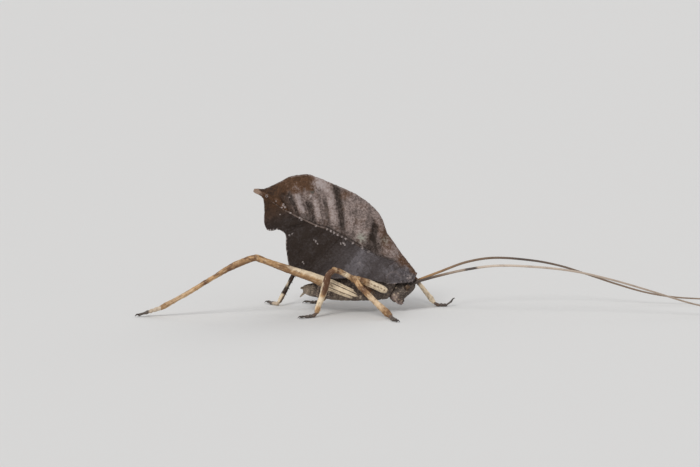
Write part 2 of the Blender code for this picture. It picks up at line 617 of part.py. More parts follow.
def make_head(kit):
    """A rounded head flattened in front, with its mouth below, sockets for the eyes and a crest between the feelers."""
    neck, normal = Vector(NECK_POINT), Vector(NECK_NORMAL).normalized()
    bm = bmesh.new()
    bmesh.ops.create_uvsphere(bm, u_segments=20, v_segments=14, radius=1.0)
    for vert in bm.verts:
        p = vert.co
        narrowing = 1 - 0.22 * max(-p.z, 0)
        lean = 0.55 * p.z
        vert.co = Vector((
            HEAD_CENTRE[0] + HEAD_HALF[0] * p.x * (1 - 0.12 * max(-p.z, 0)) + lean,
            HEAD_HALF[1] * p.y * narrowing,
            HEAD_CENTRE[2] + HEAD_HALF[2] * p.z,
        ))
    cut_away(bm, neck + normal * GAP, -normal)
    cut_away(bm, Vector((0, 0, 5.85)), Vector((-0.25, 0, 1)).normalized())
    head = kit.from_bmesh("head", bm, "head")

    features = new_collection("features")
    add_cone(kit, features, "fastigium", (8.2, 0, 5.6), (9.5, 0, 6.35), 0.42, 0.16)
    for side in (-1, 1):
        add_cone(kit, features, f"mandible_{side}", (6.3, 0.55 * side, 2.9), (5.75, 0.35 * side, 1.75), 0.75, 0.4)
    add_cone(kit, features, "clypeus", (7.0, 0, 3.3), (6.7, 0, 2.1), 0.95, 0.6)
    kit.boolean(head, "UNION", features)

    cutters = new_collection("sockets")
    for side in (-1, 1):
        add_ball(kit, cutters, f"socket_{side}", mirrored(EYE_CENTRE, side), EYE_RADIUS + GAP)
        root, end = mirrored(SCAPE_ROOT, side), mirrored(SCAPE_END, side)
        add_cone(kit, cutters, f"feeler_socket_{side}", root, end, SCAPE_RADIUS + GAP, SCAPE_RADIUS + GAP)
    kit.boolean(head, "DIFFERENCE", cutters)

    for word, side in (("right", -1), ("left", 1)):
        ball = add_ball(kit, kit.group, f"eye_{word}", mirrored(EYE_CENTRE, side), EYE_RADIUS)
        ball.data.materials[0] = kit.materials["eye"]


def add_cone(kit, group, name, start, end, start_radius, end_radius, sides=10):
    start, end = Vector(start), Vector(end)
    axis = end - start
    bm = bmesh.new()
    bmesh.ops.create_cone(bm, cap_ends=True, segments=sides, radius1=start_radius, radius2=end_radius,
                          depth=axis.length)
    turn = axis.to_track_quat("Z", "Y").to_matrix().to_4x4()
    bmesh.ops.transform(bm, matrix=Matrix.Translation((start + end) / 2) @ turn, verts=bm.verts)
    return kit.from_bmesh(name, bm, "head", group)


def add_ball(kit, group, name, centre, radius):
    bm = bmesh.new()
    bmesh.ops.create_uvsphere(bm, u_segments=14, v_segments=9, radius=radius)
    bmesh.ops.translate(bm, vec=centre, verts=bm.verts)
    return kit.from_bmesh(name, bm, "head", group)


def make_palps(kit):
    """The two longer and two shorter palps that hang beside the mouth."""
    for word, side in (("right", -1), ("left", 1)):
        taper(kit, f"palp_{word}", "leg",
              ((5.8, 1.5 * side, 2.25), (5.6, 2.0 * side, 1.6), (6.0, 2.15 * side, 1.05), (6.7, 1.95 * side, 0.95),
               (7.2, 1.65 * side, 1.15)), (0.25, 0.26, 0.24, 0.24, 0.28))


def smooth_route(points, step):
    """Evenly spaced points on the smooth curve through a route."""
    points = [Vector(p) for p in points]
    lengths = [0.0]
    for a, b in zip(points, points[1:]):
        lengths.append(lengths[-1] + (b - a).length)
    count = round(lengths[-1] / step)
    places = [lengths[-1] * i / count for i in range(count + 1)]
    axes = [[(d, p[k]) for d, p in zip(lengths, points)] for k in range(3)]
    return [Vector([eased(axis, place) for axis in axes]) for place in places]


def make_feelers(kit):
    for word, side in (("right", -1), ("left", 1)):
        root, end = mirrored(SCAPE_ROOT, side), mirrored(SCAPE_END, side)
        axis = (end - root).normalized()
        taper(kit, f"antenna_{word}_base", "feeler",
              (root + axis * GAP, root + axis * 0.7, end - axis * (GAP + 0.15), end - axis * GAP),
              (SCAPE_RADIUS * 0.8, SCAPE_RADIUS, SCAPE_RADIUS * 0.9, SCAPE_RADIUS * 0.75))
        make_feeler(kit, word, smooth_route(FEELER_ROUTES[word], 1.6))


def make_feeler(kit, word, route):
    """One feeler as three tubes end to end along its route, thinner towards the tip."""
    share = (len(route) - 1) / FEELER_LENGTHS
    for part in range(FEELER_LENGTHS):
        first, last = round(part * share), round((part + 1) * share)
        points = [p.copy() for p in route[first : last + 1]]
        if part:
            points[0] += (points[1] - points[0]).normalized() * GAP
        curve = bpy.data.curves.new("feeler", "CURVE")
        curve.dimensions = "3D"
        curve.bevel_depth = 1.0
        curve.bevel_resolution = 2
        curve.use_fill_caps = True
        spline = curve.splines.new("POLY")
        spline.points.add(len(points) - 1)
        for i, (spot, point) in enumerate(zip(spline.points, points)):
            spot.co = (*point, 1.0)
            whole = (first + i) / (len(route) - 1)
            spot.radius = FEELER_ROOT_RADIUS + (FEELER_TIP_RADIUS - FEELER_ROOT_RADIUS) * whole
        tube = bpy.data.objects.new("feeler", curve)
        kit.group.objects.link(tube)
        bpy.context.view_layer.update()
        mesh = bpy.data.meshes.new_from_object(tube.evaluated_get(bpy.context.evaluated_depsgraph_get()))
        bpy.data.objects.remove(tube)
        bm = bmesh.new()
        bm.from_mesh(mesh)
        bmesh.ops.remove_doubles(bm, verts=bm.verts, dist=1e-4)
        kit.from_bmesh(f"antenna_{word}_{part + 1}", bm, "feeler")


def keep_largest(obj):
    """Drops loose scraps and closed hollows that a union left."""
    bm = bmesh.new()
    bm.from_mesh(obj.data)
    bmesh.ops.remove_doubles(bm, verts=bm.verts, dist=1e-4)
    left, groups = set(bm.verts), []
    while left:
        stack, group = [left.pop()], []
        while stack:
            vert = stack.pop()
            group.append(vert)
            for edge in vert.link_edges:
                other = edge.other_vert(vert)
                if other in left:
                    left.remove(other)
                    stack.append(other)
        groups.append(group)
    groups.sort(key=len)
    for group in groups[:-1]:
        bmesh.ops.delete(bm, geom=group, context="VERTS")
    bm.to_mesh(obj.data)
    bm.free()


def place_insect(kit):
    """Turns millimetres into metres and moves the insect over the origin."""
    for obj in kit.group.objects:
        keep_largest(obj)
        obj.data.transform(Matrix.Scale(METRES, 4))
    corners = np.array([v.co for obj in kit.group.objects for v in obj.data.vertices])
    middle = (corners.min(axis=0) + corners.max(axis=0)) / 2
    stand = bpy.data.objects.new("katydid", None)
    kit.group.objects.link(stand)
    stand.location = (-middle[0], -middle[1], 0)
    for obj in kit.group.objects:
        if obj is not stand:
            obj.parent = stand


def main():
    clear_scene()
    kit = Kit()
    thorax_cutter, cutters = thorax_cutter_maker(kit)
    make_thorax(kit)
    make_abdomen(kit)
    make_abdomen_end(kit)
    make_pronotum(kit)
    make_head(kit)
    make_palps(kit)
    make_feelers(kit)
    for name, plan in LEGS.items():
        make_leg(kit, name, plan, thorax_cutter)
    for word, side in (("right", -1), ("left", 1)):
        make_wing(kit, word, side)
    make_hindwings(kit)
    bpy.data.collections.remove(cutters)
    place_insect(kit)


main()
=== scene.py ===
"""A leaf-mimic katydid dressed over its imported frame, laid out as a Blender add-on.

Shapes are worked out in millimetres round the middle of the insect's thorax, with the head along +X and
the right side along -Y, and each piece is then made in metres in the frame's own place.
"""

import math
from types import SimpleNamespace

import bpy
import numpy as np
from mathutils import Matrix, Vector, noise


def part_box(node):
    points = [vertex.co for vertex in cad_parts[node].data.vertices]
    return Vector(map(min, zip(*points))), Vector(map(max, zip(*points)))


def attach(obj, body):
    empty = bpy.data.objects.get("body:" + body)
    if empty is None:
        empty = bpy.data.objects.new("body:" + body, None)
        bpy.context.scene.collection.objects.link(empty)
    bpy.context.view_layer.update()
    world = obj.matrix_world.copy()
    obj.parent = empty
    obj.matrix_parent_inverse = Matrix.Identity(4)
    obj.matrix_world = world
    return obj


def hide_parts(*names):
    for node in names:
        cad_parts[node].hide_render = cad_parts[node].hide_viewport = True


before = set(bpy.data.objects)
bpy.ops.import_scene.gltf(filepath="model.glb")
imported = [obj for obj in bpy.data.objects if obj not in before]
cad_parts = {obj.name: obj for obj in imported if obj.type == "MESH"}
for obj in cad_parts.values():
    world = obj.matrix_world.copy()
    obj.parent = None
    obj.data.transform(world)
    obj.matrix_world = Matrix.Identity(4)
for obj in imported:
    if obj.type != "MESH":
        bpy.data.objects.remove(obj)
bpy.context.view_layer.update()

bl_info = {
    "name": "Leaf-mimic katydid",
    "version": (1, 0, 0),
    "blender": (4, 5, 0),
    "location": "View3D > Sidebar > Katydid",
    "description": "Builds the skin, wings, legs and feelers of a katydid over its frame",
    "category": "Add Mesh",
}

MM = 0.001
SIDES = (("right", -1), ("left", 1))

# The picture: its middle and width and the camera's distance in millimetres, and the suns of the studio with
# their direction, strength and spread in degrees.
VIEW_MIDDLE = (-4, 0, 15.66)
VIEW_WIDTH = 140
VIEW_DISTANCE = 600
VIEW_TILT = math.radians(8)
SENSOR_WIDTH = 36
SUNS = (("key", (-0.45, -0.8, 0.85), 1.55, 24), ("back", (0.5, 0.8, 0.7), 0.5, 40))

# Forewing, along its midrib from the shoulder and across it.
WING_ROOT = (3.8, 10.15)
WING_PITCH = math.radians(28.3)
WING_LENGTH = 30.5
WING_TOP_EDGE = (
    (-1.62, 1.95), (0.1, 2.95), (1.9, 4.0), (3.2, 4.78), (4.6, 6.15), (6.3, 7.35), (8.4, 8.1), (12.0, 8.62),
    (15.5, 8.42), (19.0, 8.1), (22.2, 7.65), (24.6, 6.25), (25.7, 5.1), (26.8, 3.5), (27.5, 2.45),
    (28.0, 1.8), (28.8, 0.85), (30.1, 0.32), (30.5, 0.06),
)
WING_LOW_EDGE = (
    (-1.37, -3.9), (2.4, -5.1), (5.1, -6.2), (8.9, -8.4), (12.4, -10.3), (14.8, -10.9), (16.9, -10.4),
    (18.0, -9.3), (19.0, -7.9), (19.7, -6.85), (20.35, -5.6), (21.3, -4.8), (22.8, -4.85), (23.7, -5.65),
    (24.6, -5.9), (25.7, -4.8), (26.8, -2.75), (27.7, -1.2), (28.5, -0.5), (30.1, -0.24), (30.5, -0.06),
)
# Where the vein that leaves the midrib at a place ends, along the wing, and how strongly it sweeps back.
VEIN_TOP_END = (
    (0.0, -1.62), (5.6, 7.1), (11.2, 16.4), (17.2, 23.8), (22.1, 27.5), (26.5, 29.0), (30.5, 30.5),
)
VEIN_LOW_END = (
    (0.0, -1.37), (5.0, 5.4), (9.0, 11.0), (13.0, 16.6), (17.0, 20.6), (22.0, 25.2), (26.5, 28.4),
    (30.5, 30.5),
)
VEIN_SWEEP = 1.15
# How far the midrib and the tip leave the straight line.
MIDRIB_DROOP = (
    (0, 0), (13.5, 0), (16.3, -0.5), (18.3, -0.6), (20, -0.72), (22, -0.7), (23.5, -0.78), (24.9, -0.66),
    (26.4, -0.45), (28.5, -0.1), (30.5, 0),
)
TIP_DROOP = ((0, 0), (28.4, 0), (30.5, -0.25))
# Furrows: place along the midrib, depth, half width, and how far up towards the top edge they reach.
FURROWS = (
    (2.4, 0.2, 0.7, 1.0), (4.8, 1.0, 1.05, 0.8), (8.6, 0.2, 0.7, 1.0), (11.1, 0.85, 0.7, 1.0),
    (14.4, 0.35, 0.9, 1.0), (17.9, 0.8, 0.85, 0.62), (20.6, 0.5, 0.5, 0.8), (22.5, 0.5, 0.45, 0.5),
    (24.8, 0.35, 0.6, 0.7),
)
# How far a forewing's middle surface stands from the insect's middle plane: at its crest, at the least, and
# at its lower edge along the wing, and how the slope between them curves.
CREST_OFFSET = 0.2
LEAST_OFFSET = 0.17
SIDE_OFFSET = ((-1.6, 3.1), (3.0, 3.25), (9.0, 2.95), (15.0, 2.2), (19.0, 1.6), (24.0, 1.05), (30.8, 0.6))
ROOF_CURVE = ((0.0, 0.72), (7.0, 0.85), (13.0, 1.0))
# Painted folds of the upper half, partly the leaf's own tone and partly painted highlight on the lit folds
# and
# painted shade in the furrows: place at the midrib, lean towards the tip with height, half width, the rows
# between which it shows, and how much lighter or darker it is.
FOLDS = (
    (4.3, 0.0, 1.7, -0.2, 0.42, -0.4), (4.5, 0.8, 0.8, 0.3, 0.78, -0.5),
    (10.6, 0.65, 0.68, 0.12, 1.1, -0.46), (13.8, -0.1, 0.5, 0.05, 0.6, -0.3),
    (17.0, 0.0, 0.7, 0.02, 0.46, -0.42), (17.9, 0.0, 0.6, 0.02, 0.4, -0.2),
    (20.2, 0.2, 0.6, 0.02, 0.66, -0.45), (21.6, 0.2, 0.9, -0.1, 0.75, -0.35),
    (2.8, 0.5, 0.45, 0.35, 1.0, -0.15), (6.2, 0.4, 0.35, 0.5, 1.0, -0.12),
    (7.3, 0.0, 1.1, 0.06, 0.42, 0.12), (12.3, 0.5, 0.75, 0.18, 0.82, 0.22),
    (15.55, 0.3, 0.5, 0.14, 0.56, 0.28), (18.75, 0.3, 0.5, 0.2, 0.66, 0.36),
    (13.6, 0.3, 1.6, 0.78, 1.1, 0.25), (9.2, 0.4, 0.5, 0.1, 0.9, 0.06), (8.2, 0.3, 0.3, 0.1, 0.8, -0.12),
    (14.7, 0.3, 0.35, 0.1, 0.75, -0.1),
)
# Lightness of the lower half along the midrib: partly the leaf's own tone, partly painted shade.
LOWER_TONES = (
    (0, 0.5), (1, 0.62), (2.5, 0.48), (4, 0.7), (5.3, 0.98), (6.2, 0.8), (7, 0.42), (8, 0.42), (9, 0.28),
    (10, 0.16), (11.5, 0.04), (20, 0.04), (22, 0.1), (25, 0.18), (26.5, 0.35), (27.5, 0.6), (30.5, 0.95),
)
# Pale crumbs on the forewing, as length, height and radius, and beads along the midrib.
CRUMBS = (
    (-11.8, 23.35, 0.2), (-20.6, 23.35, 0.22), (-17.3, 21.55, 0.2), (-17.6, 21.05, 0.15),
    (-16.95, 21.1, 0.18), (-18.7, 22.35, 0.1), (-16.05, 23.1, 0.1), (-17.9, 19.6, 0.1),
    (-14.05, 18.95, 0.13), (-15.85, 20.0, 0.12), (-16.15, 15.5, 0.14), (-15.5, 15.7, 0.15),
    (-18.5, 16.65, 0.16), (-16.75, 14.7, 0.12), (-16.8, 14.1, 0.13), (-16.8, 13.6, 0.1),
    (-16.7, 13.1, 0.14), (-16.5, 12.3, 0.1), (-10.8, 14.25, 0.17), (-10.5, 13.8, 0.13), (-11.15, 14.6, 0.1),
    (-5.85, 13.9, 0.15), (-5.3, 13.95, 0.2), (-5.0, 13.6, 0.12), (-13.4, 10.2, 0.13), (-13.2, 9.9, 0.1),
    (-19.9, 16.45, 0.16), (-20.3, 16.5, 0.12), (-19.3, 16.55, 0.12), (-17.4, 16.2, 0.1),
)
BEADS = (4.6, 6.0, 8.2, 9.8, 10.7, 11.6, 12.4, 13.1, 14.0, 16.2, 19.4)

# Shield: length of its rear margin against height, its rear and front arches from the ridge down, and the
# small knobs and the low dome on its sides as length, height and radius.
SHOULDER = ((5.9, 3.25), (7.6, 3.15), (8.8, 3.25), (9.8, 4.0), (10.4, 5.2), (11.1, 6.4))
SHIELD_REAR = (
    (0.0, 11.5), (0.95, 11.25), (1.8, 10.55), (2.5, 9.65), (3.0, 8.3), (3.25, 7.1), (3.35, 5.9),
)
SHIELD_FRONT = (
    (0.0, 7.55, 9.4), (0.42, 7.5, 9.36), (0.8, 7.3, 9.24), (1.12, 7.05, 9.05), (1.4, 6.78, 8.9),
    (1.6, 6.5, 8.72), (1.75, 6.2, 8.5),
)
TUBERCLES = (
    (6.8, 7.5, 0.26), (7.5, 6.95, 0.24), (8.15, 7.15, 0.2), (8.5, 6.45, 0.22), (7.2, 8.5, 0.2),
    (5.6, 9.3, 0.22), (6.3, 10.2, 0.2), (8.6, 7.6, 0.18), (6.3, 6.3, 0.16), (5.2, 8.5, 0.14),
)
DOME = (4.7, 7.0, 1.35)
# Steps of the arches from the ridge down to the rim.
SHIELD_STEPS = 6

# Folded hind wings from root to tip: length and height of the lower edge, then of the upper one.
HINDWING = (
    (2.2, 9.95, 1.9, 10.55), (0.2, 9.72, -0.6, 11.9), (-1.6, 9.25, -3.2, 13.2), (-3.4, 9.1, -5.6, 14.5),
    (-6.6, 9.9, -8.2, 15.9), (-10.4, 12.6, -11.2, 17.5), (-13.2, 16.4, -13.6, 18.7),
)

# Trunk from the tip of the abdomen to the neck: length, underside, top, half width.
TRUNK = (
    (-13.5, 4.2, 4.8, 0.3), (-13.35, 3.8, 5.0, 0.7), (-12.9, 3.4, 5.25, 1.1), (-10.5, 2.75, 5.8, 1.75),
    (-6.5, 2.2, 7.1, 2.15), (-2.6, 2.1, 8.2, 2.35), (-1.2, 2.1, 8.9, 2.5), (0.4, 2.15, 9.4, 2.55),
    (2.0, 2.3, 9.6, 2.5), (3.6, 2.5, 9.2, 2.3), (5.2, 3.4, 8.6, 1.9), (6.4, 5.0, 8.0, 1.4),
    (6.6, 6.0, 7.2, 0.4),
)
# Rear ends of the abdomen's rings, the seams of the thorax, and how far a ring leans with height.
RING_ENDS = (-2.7, -3.9, -5.05, -6.2, -7.35, -8.5, -9.65, -10.8, -11.9, -12.9)
THORAX_SEAMS = (-1.3, 0.6, 2.6, 4.2)
RING_LEAN = 0.12
# The neck's plane, where the trunk and the head meet.
NECK_POINT = (4.5, 0.0, 4.5)
NECK_NORMAL = (0.9, 0.0, -0.44)
# The plate under the tail, and the cercus on the left.
TAIL_PLATE = ((-12.4, 0, 4.0), (-13.1, 0, 3.7), (-13.6, 0, 3.25), (-14.05, 0, 2.75))
CERCUS = ((-12.6, 0.5, 4.5), (-13.2, 0.65, 4.6), (-13.6, 0.6, 4.65), (-13.95, 0.45, 4.6))

# Head from its mouth up: height, back, front and half width.
HEAD = (
    (1.75, 5.3, 5.5, 0.1), (1.85, 4.8, 5.9, 0.6), (2.1, 4.4, 6.35, 1.0), (2.6, 4.0, 7.0, 1.45),
    (3.2, 3.8, 7.7, 1.75), (3.9, 3.9, 8.4, 1.95), (4.5, 4.1, 8.85, 1.95), (5.0, 4.4, 9.05, 1.8),
    (5.45, 4.8, 8.95, 1.5), (5.8, 5.3, 8.5, 1.1), (6.0, 6.0, 7.9, 0.6), (6.08, 6.8, 7.2, 0.1),
)
HEAD_MIDDLE = (6.4, 0.0, 4.2)
BROW = ((7.9, 0, 5.4), (8.6, 0, 5.95), (9.1, 0, 6.2), (9.5, 0, 6.35))
# Lumps of the mouth: middle and half widths of the one on the left, or of the only one.
MOUTH = (
    ("lip", (6.45, 0, 2.1), (0.42, 0.62, 0.5)), ("chin", (5.0, 0, 2.3), (0.6, 0.7, 0.55)),
    ("jaw", (5.95, 0.6, 2.15), (0.55, 0.42, 0.6)), ("cheek", (5.05, 1.25, 2.9), (0.75, 0.5, 0.85)),
)
EYE_CENTRE = (7.45, 1.72, 5.0)
EYE_HALF = (0.66, 0.5, 0.7)
# Pale freckles as length, height and radius.
JAW_FRECKLES = (
    (4.3, 4.3, 0.28), (4.85, 3.6, 0.34), (4.35, 3.2, 0.24), (5.35, 3.1, 0.28), (5.0, 2.55, 0.26),
    (5.75, 2.5, 0.24), (5.6, 3.9, 0.22), (6.3, 2.2, 0.2),
)
# Palps on the left.
PALP_OUTER = (
    (5.3, 1.2, 2.6), (5.25, 1.65, 2.35), (5.5, 1.85, 1.95), (5.95, 1.8, 1.75), (6.4, 1.6, 1.7),
)
PALP_INNER = (
    (5.9, 0.6, 2.2), (6.05, 0.95, 1.9), (6.35, 1.05, 1.7), (6.7, 1.0, 1.65),
)
# Ends of a feeler's root joint on the left, and each feeler's route from there.
SCAPE_ROOT = (8.5, 0.55, 5.55)
SCAPE_END = (9.75, 0.85, 6.15)
FEELER_ROUTES = {
    "right": (
        (9.75, -0.85, 6.15), (13.7, -2.2, 7.45), (19.0, -4.0, 8.95), (25.1, -5.4, 9.95), (32.8, -6.3, 9.85),
        (40.4, -6.8, 9.05), (48.0, -7.0, 7.35), (55.7, -7.0, 5.1), (63.4, -6.8, 2.7), (68.5, -6.5, 1.6),
        (73.0, -6.1, 1.2),
    ),
    "left": (
        (9.75, 0.85, 6.15), (13.7, 2.6, 7.38), (19.4, 4.7, 9.15), (25.1, 6.2, 9.82), (32.8, 7.6, 9.1),
        (38.5, 8.1, 7.95), (44.0, 8.3, 6.2), (50.0, 8.2, 4.2), (56.0, 7.9, 2.5), (62.0, 7.5, 1.55),
        (69.5, 6.9, 1.2),
    ),
}

# Legs: their joints, the foot's direction in degrees and its size, and where they differ from the common leg
# how slim they are, how high the claws lift, and how long the foot takes to come down from the ankle.
LEGS = {
    "fore_right": {"root": (3.0, -1.4, 4.5), "hip": (2.9, -3.5, 4.75), "knee": (-2.9, -6.4, 7.5),
                   "ankle": (3.9, -10.2, 0.85), "heading": -70, "foot": 0.85},
    "fore_left": {"root": (3.0, 1.4, 4.5), "hip": (3.2, 3.5, 4.4), "knee": (6.9, 8.6, 8.2),
                  "ankle": (12.9, 5.2, 1.0), "heading": 6, "foot": 0.85, "claw_lift": 1.3, "slim": 0.75},
    "mid_right": {"root": (0.4, -1.4, 4.5), "hip": (0.2, -3.3, 4.2), "knee": (-7.1, -6.3, 9.2),
                  "ankle": (-10.5, -7.5, 1.0), "heading": 214, "foot": 0.85},
    "mid_left": {"root": (0.4, 1.4, 4.5), "hip": (0.4, 3.3, 4.2), "knee": (-3.2, 9.6, 8.6),
                 "ankle": (-9.3, 8.6, 1.0), "heading": 170, "foot": 0.85},
    "hind_right": {"root": (-1.2, -1.2, 3.8), "hip": (-1.7, -3.5, 3.2), "knee": (-22.6, -6.4, 11.75),
                   "ankle": (-41.5, -7.0, 1.75), "heading": 184, "foot": 1.0, "drop": 5.6},
    "hind_left": {"root": (-1.2, 1.2, 3.8), "hip": (-1.7, 3.5, 3.2), "knee": (-8.2, 15.3, 19.6),
                  "ankle": (-18.2, 5.8, 1.1), "heading": 128, "foot": 0.92},
}
# Length of one row of faces on a limb, and the rows of its round ends.
LIMB_STEP = 0.13
CAP_ROWS = 7
# Pieces of the legs: share of the length, half width and half height.
COXA_SIZE = ((0.0, 0.85, 0.95), (0.6, 0.8, 0.85), (1.0, 0.6, 0.65))
FEMUR_SIZE = {
    "fore": ((0.0, 0.55, 0.58), (0.12, 0.6, 0.68), (0.6, 0.55, 0.66), (0.85, 0.48, 0.56), (1.0, 0.48, 0.52)),
    "mid": ((0.0, 0.5, 0.6), (0.25, 0.52, 0.62), (0.7, 0.45, 0.5), (0.9, 0.46, 0.52), (1.0, 0.48, 0.52)),
    "hind": ((0.0, 0.36, 0.36), (0.04, 0.4, 0.42), (0.065, 0.62, 0.72), (0.1, 0.76, 0.93), (0.2, 0.82, 1.06),
             (0.3, 0.8, 1.1), (0.45, 0.7, 0.95), (0.7, 0.55, 0.76), (0.9, 0.46, 0.6), (0.97, 0.5, 0.66),
             (1.0, 0.5, 0.62)),
}
TIBIA_SIZE = {
    "fore": ((0.0, 0.48, 0.5), (0.12, 0.48, 0.58), (0.4, 0.46, 0.56), (0.75, 0.48, 0.62), (0.93, 0.54, 0.76),
             (1.0, 0.48, 0.56)),
    "mid": ((0.0, 0.48, 0.52), (0.12, 0.48, 0.58), (0.35, 0.5, 0.76), (0.5, 0.5, 0.74), (0.62, 0.44, 0.62),
            (0.8, 0.42, 0.54), (0.93, 0.42, 0.55), (1.0, 0.4, 0.46)),
    "hind": ((0.0, 0.5, 0.6), (0.08, 0.5, 0.64), (0.18, 0.48, 0.66), (0.3, 0.46, 0.57), (0.42, 0.38, 0.44),
             (0.56, 0.38, 0.45), (0.7, 0.38, 0.45), (0.85, 0.38, 0.43), (0.96, 0.44, 0.54), (1.0, 0.4, 0.46)),
}
# Rise of a limb's middle line over the straight line between its joints.
FEMUR_BEND = {
    "fore": ((0, 0), (0.5, 0.15), (0.9, 0.12), (1, 0)),
    "mid": ((0, 0), (0.3, 0.3), (0.5, 0.42), (0.65, 0.46), (0.8, 0.42), (0.93, 0.22), (1, 0)),
    "hind": ((0, 0), (0.11, 0.05), (0.3, 0.2), (0.47, 0.34), (0.6, 0.2), (0.8, 0.05), (1, 0)),
}
TIBIA_BEND = {
    "fore": ((0, 0), (1, 0)),
    "fore_right": ((0, 0), (0.15, -0.45), (0.35, -0.42), (0.65, -0.34), (1, -0.1)),
    "mid": ((0, 0), (0.07, 0.5), (0.17, 0.8), (0.3, 0.62), (0.45, 0.42), (0.65, 0.3), (0.85, 0.25), (1, 0.1)),
    "hind": ((0, 0), (0.06, 0.3), (0.14, 0.52), (0.28, 0.66), (0.41, 0.5), (0.54, 0.36), (0.7, 0.12), (1, 0)),
    "hind_left": ((0, 0), (0.4, -0.1), (1, 0)),
}
# Half widths of the lobes beside a knee and of the lump at a hip.
KNEE_LOBE = (0.54, 0.33, 0.52)
HIP_LUMP = (0.58, 0.52, 0.55)
# Thorns in each of a tibia's two rows, with the length of a short one and the radius of all.
SPINE_ROWS = {"fore": 4, "mid": 4, "hind": 11}
SPINE_LENGTH = 0.4
SPINE_RADIUS = 0.09
# A foot of size 1 along its length: height of its middle, half width and half height; where it ends; and the
# claws' root and tip as place ahead, place aside and height.
FOOT = (
    (0.0, 1.0, 0.42, 0.45), (0.45, 0.72, 0.42, 0.42), (1.05, 0.42, 0.56, 0.44), (1.5, 0.36, 0.4, 0.34),
    (1.95, 0.38, 0.56, 0.42), (2.3, 0.34, 0.42, 0.3), (2.8, 0.34, 0.74, 0.38), (3.15, 0.32, 0.6, 0.28),
    (3.35, 0.4, 0.3, 0.24), (3.9, 0.46, 0.27, 0.24), (4.4, 0.42, 0.3, 0.26),
)
FOOT_END = 4.6
CLAW_ROOT = (4.25, 0.14, 0.42)
CLAW_TIP = (5.2, 0.42, 0.14)


def insect_origin():
    """The frame's place of the thorax's middle on the floor, read from the right eye, in metres."""
    low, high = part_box("eye_right")
    middle = ((low[0] + high[0]) / 2, (low[1] + high[1]) / 2)
    return np.array((middle[0] - EYE_CENTRE[0] * MM, middle[1] + EYE_CENTRE[1] * MM, 0.0))


ORIGIN = insect_origin()


class KatydidSizes(bpy.types.PropertyGroup):
    wing_thickness: bpy.props.FloatProperty(
        name="Forewing thickness", description="Thickness of a forewing's blade", default=0.00032,
        unit="LENGTH")
    vein_height: bpy.props.FloatProperty(
        name="Vein height", description="How far a forewing's veins stand up", default=0.00009, unit="LENGTH")
    pleat_swell: bpy.props.FloatProperty(
        name="Pleat swell", description="How far the leaf bulges between its furrows", default=0.00055,
        unit="LENGTH")
    edge_tooth: bpy.props.FloatProperty(
        name="Edge tooth", description="Depth of the fine teeth along a forewing's edge", default=0.0001,
        unit="LENGTH")
    bark_depth: bpy.props.FloatProperty(
        name="Bark depth", description="Roughness of the legs' skin", default=0.00014, unit="LENGTH")
    feeler_ring: bpy.props.FloatProperty(
        name="Feeler ring", description="Length of one ring of a feeler", default=0.0006, unit="LENGTH")
    floor_size: bpy.props.FloatProperty(
        name="Floor size", description="Side of the floor", default=8.0, unit="LENGTH")


def colour(name, description, value):
    """A colour of the panel."""
    return bpy.props.FloatVectorProperty(
        name=name, description=description, default=value, size=3, min=0, max=1, subtype="COLOR")


class KatydidColours(bpy.types.PropertyGroup):
    ridge: colour("Wing ridge", "Lit folds of the forewing", (0.31, 0.242, 0.218))
    # The furrow colour is the dark end of the forewing's folds: partly the leaf's own tone, partly painted
    # shade in the furrows; the hind wings' lines and grain use it too.
    valley: colour("Wing furrow", "Furrows of the forewing", (0.034, 0.025, 0.02))
    rust: colour("Wing rust", "Rusty part near the wing's tip", (0.125, 0.064, 0.034))
    # The wing shade colour is the dark of the forewing's lower half, partly its own tone and partly painted
    # shade; it is also the low end of the blue-grey on the shield's sides.
    shade: colour("Wing shade", "Dark lower half of the forewing", (0.033, 0.023, 0.018))
    slate: colour("Wing slate", "Blue-grey of the forewing over the thorax", (0.165, 0.148, 0.155))
    crumb: colour("Crumb", "Pale crumbs and beads on the wing", (0.5, 0.43, 0.41))
    sage: colour("Sage", "Greenish grey patches of the wing", (0.36, 0.36, 0.3))
    straw: colour("Straw", "Light parts of the legs", (0.54, 0.325, 0.155))
    chalk: colour("Chalk", "Palest ridges of the legs", (0.88, 0.72, 0.51))
    bark: colour("Bark", "Brown patches of the legs", (0.13, 0.062, 0.034))
    # Besides dark marks, soot makes the painted shade on the far legs, above the eyes, on the thorax and in
    # the hind femur's furrows.
    soot: colour("Soot", "Darkest marks", (0.018, 0.014, 0.012))
    hide: colour("Hide", "Grey-brown of the body", (0.15, 0.118, 0.1))
    rose: colour("Rose", "Pinkish mouthparts", (0.34, 0.25, 0.22))
    eye: colour("Eye", "Eyes", (0.05, 0.03, 0.022))
    floor: colour("Floor", "Studio floor", (0.74, 0.73, 0.71))


# Making meshes


def deselect_all():
    if bpy.context.object and bpy.context.object.mode != "OBJECT":
        bpy.ops.object.mode_set(mode="OBJECT")
    bpy.ops.object.select_all(action="DESELECT")


def choose(piece):
    """Selects one piece alone and makes it the active one."""
    deselect_all()
    piece.select_set(True)
    bpy.context.view_layer.objects.active = piece


def eased(points, value):
    """The smooth curve through (position, value) points, read at many positions."""
    table = np.array(points, float)
    places, heights = table[:, 0], table[:, 1]
    value = np.clip(value, places[0], places[-1])
    span = np.clip(np.searchsorted(places, value) - 1, 0, len(places) - 2)
    steps = np.arange(len(places))
    before, after = np.maximum(steps - 1, 0), np.minimum(steps + 1, len(places) - 1)
    slopes = (heights[after] - heights[before]) / (places[after] - places[before])
    width = places[span + 1] - places[span]
    t = (value - places[span]) / width
    rise = t * t * (3 - 2 * t)
    pulls = (t - 2 * t * t + t**3) * width * slopes[span] + (t**3 - t * t) * width * slopes[span + 1]
    return (1 - rise) * heights[span] + rise * heights[span + 1] + pulls


def column(table, index):
    """One column of a table against its first."""
    return [(row[0], row[index]) for row in table]


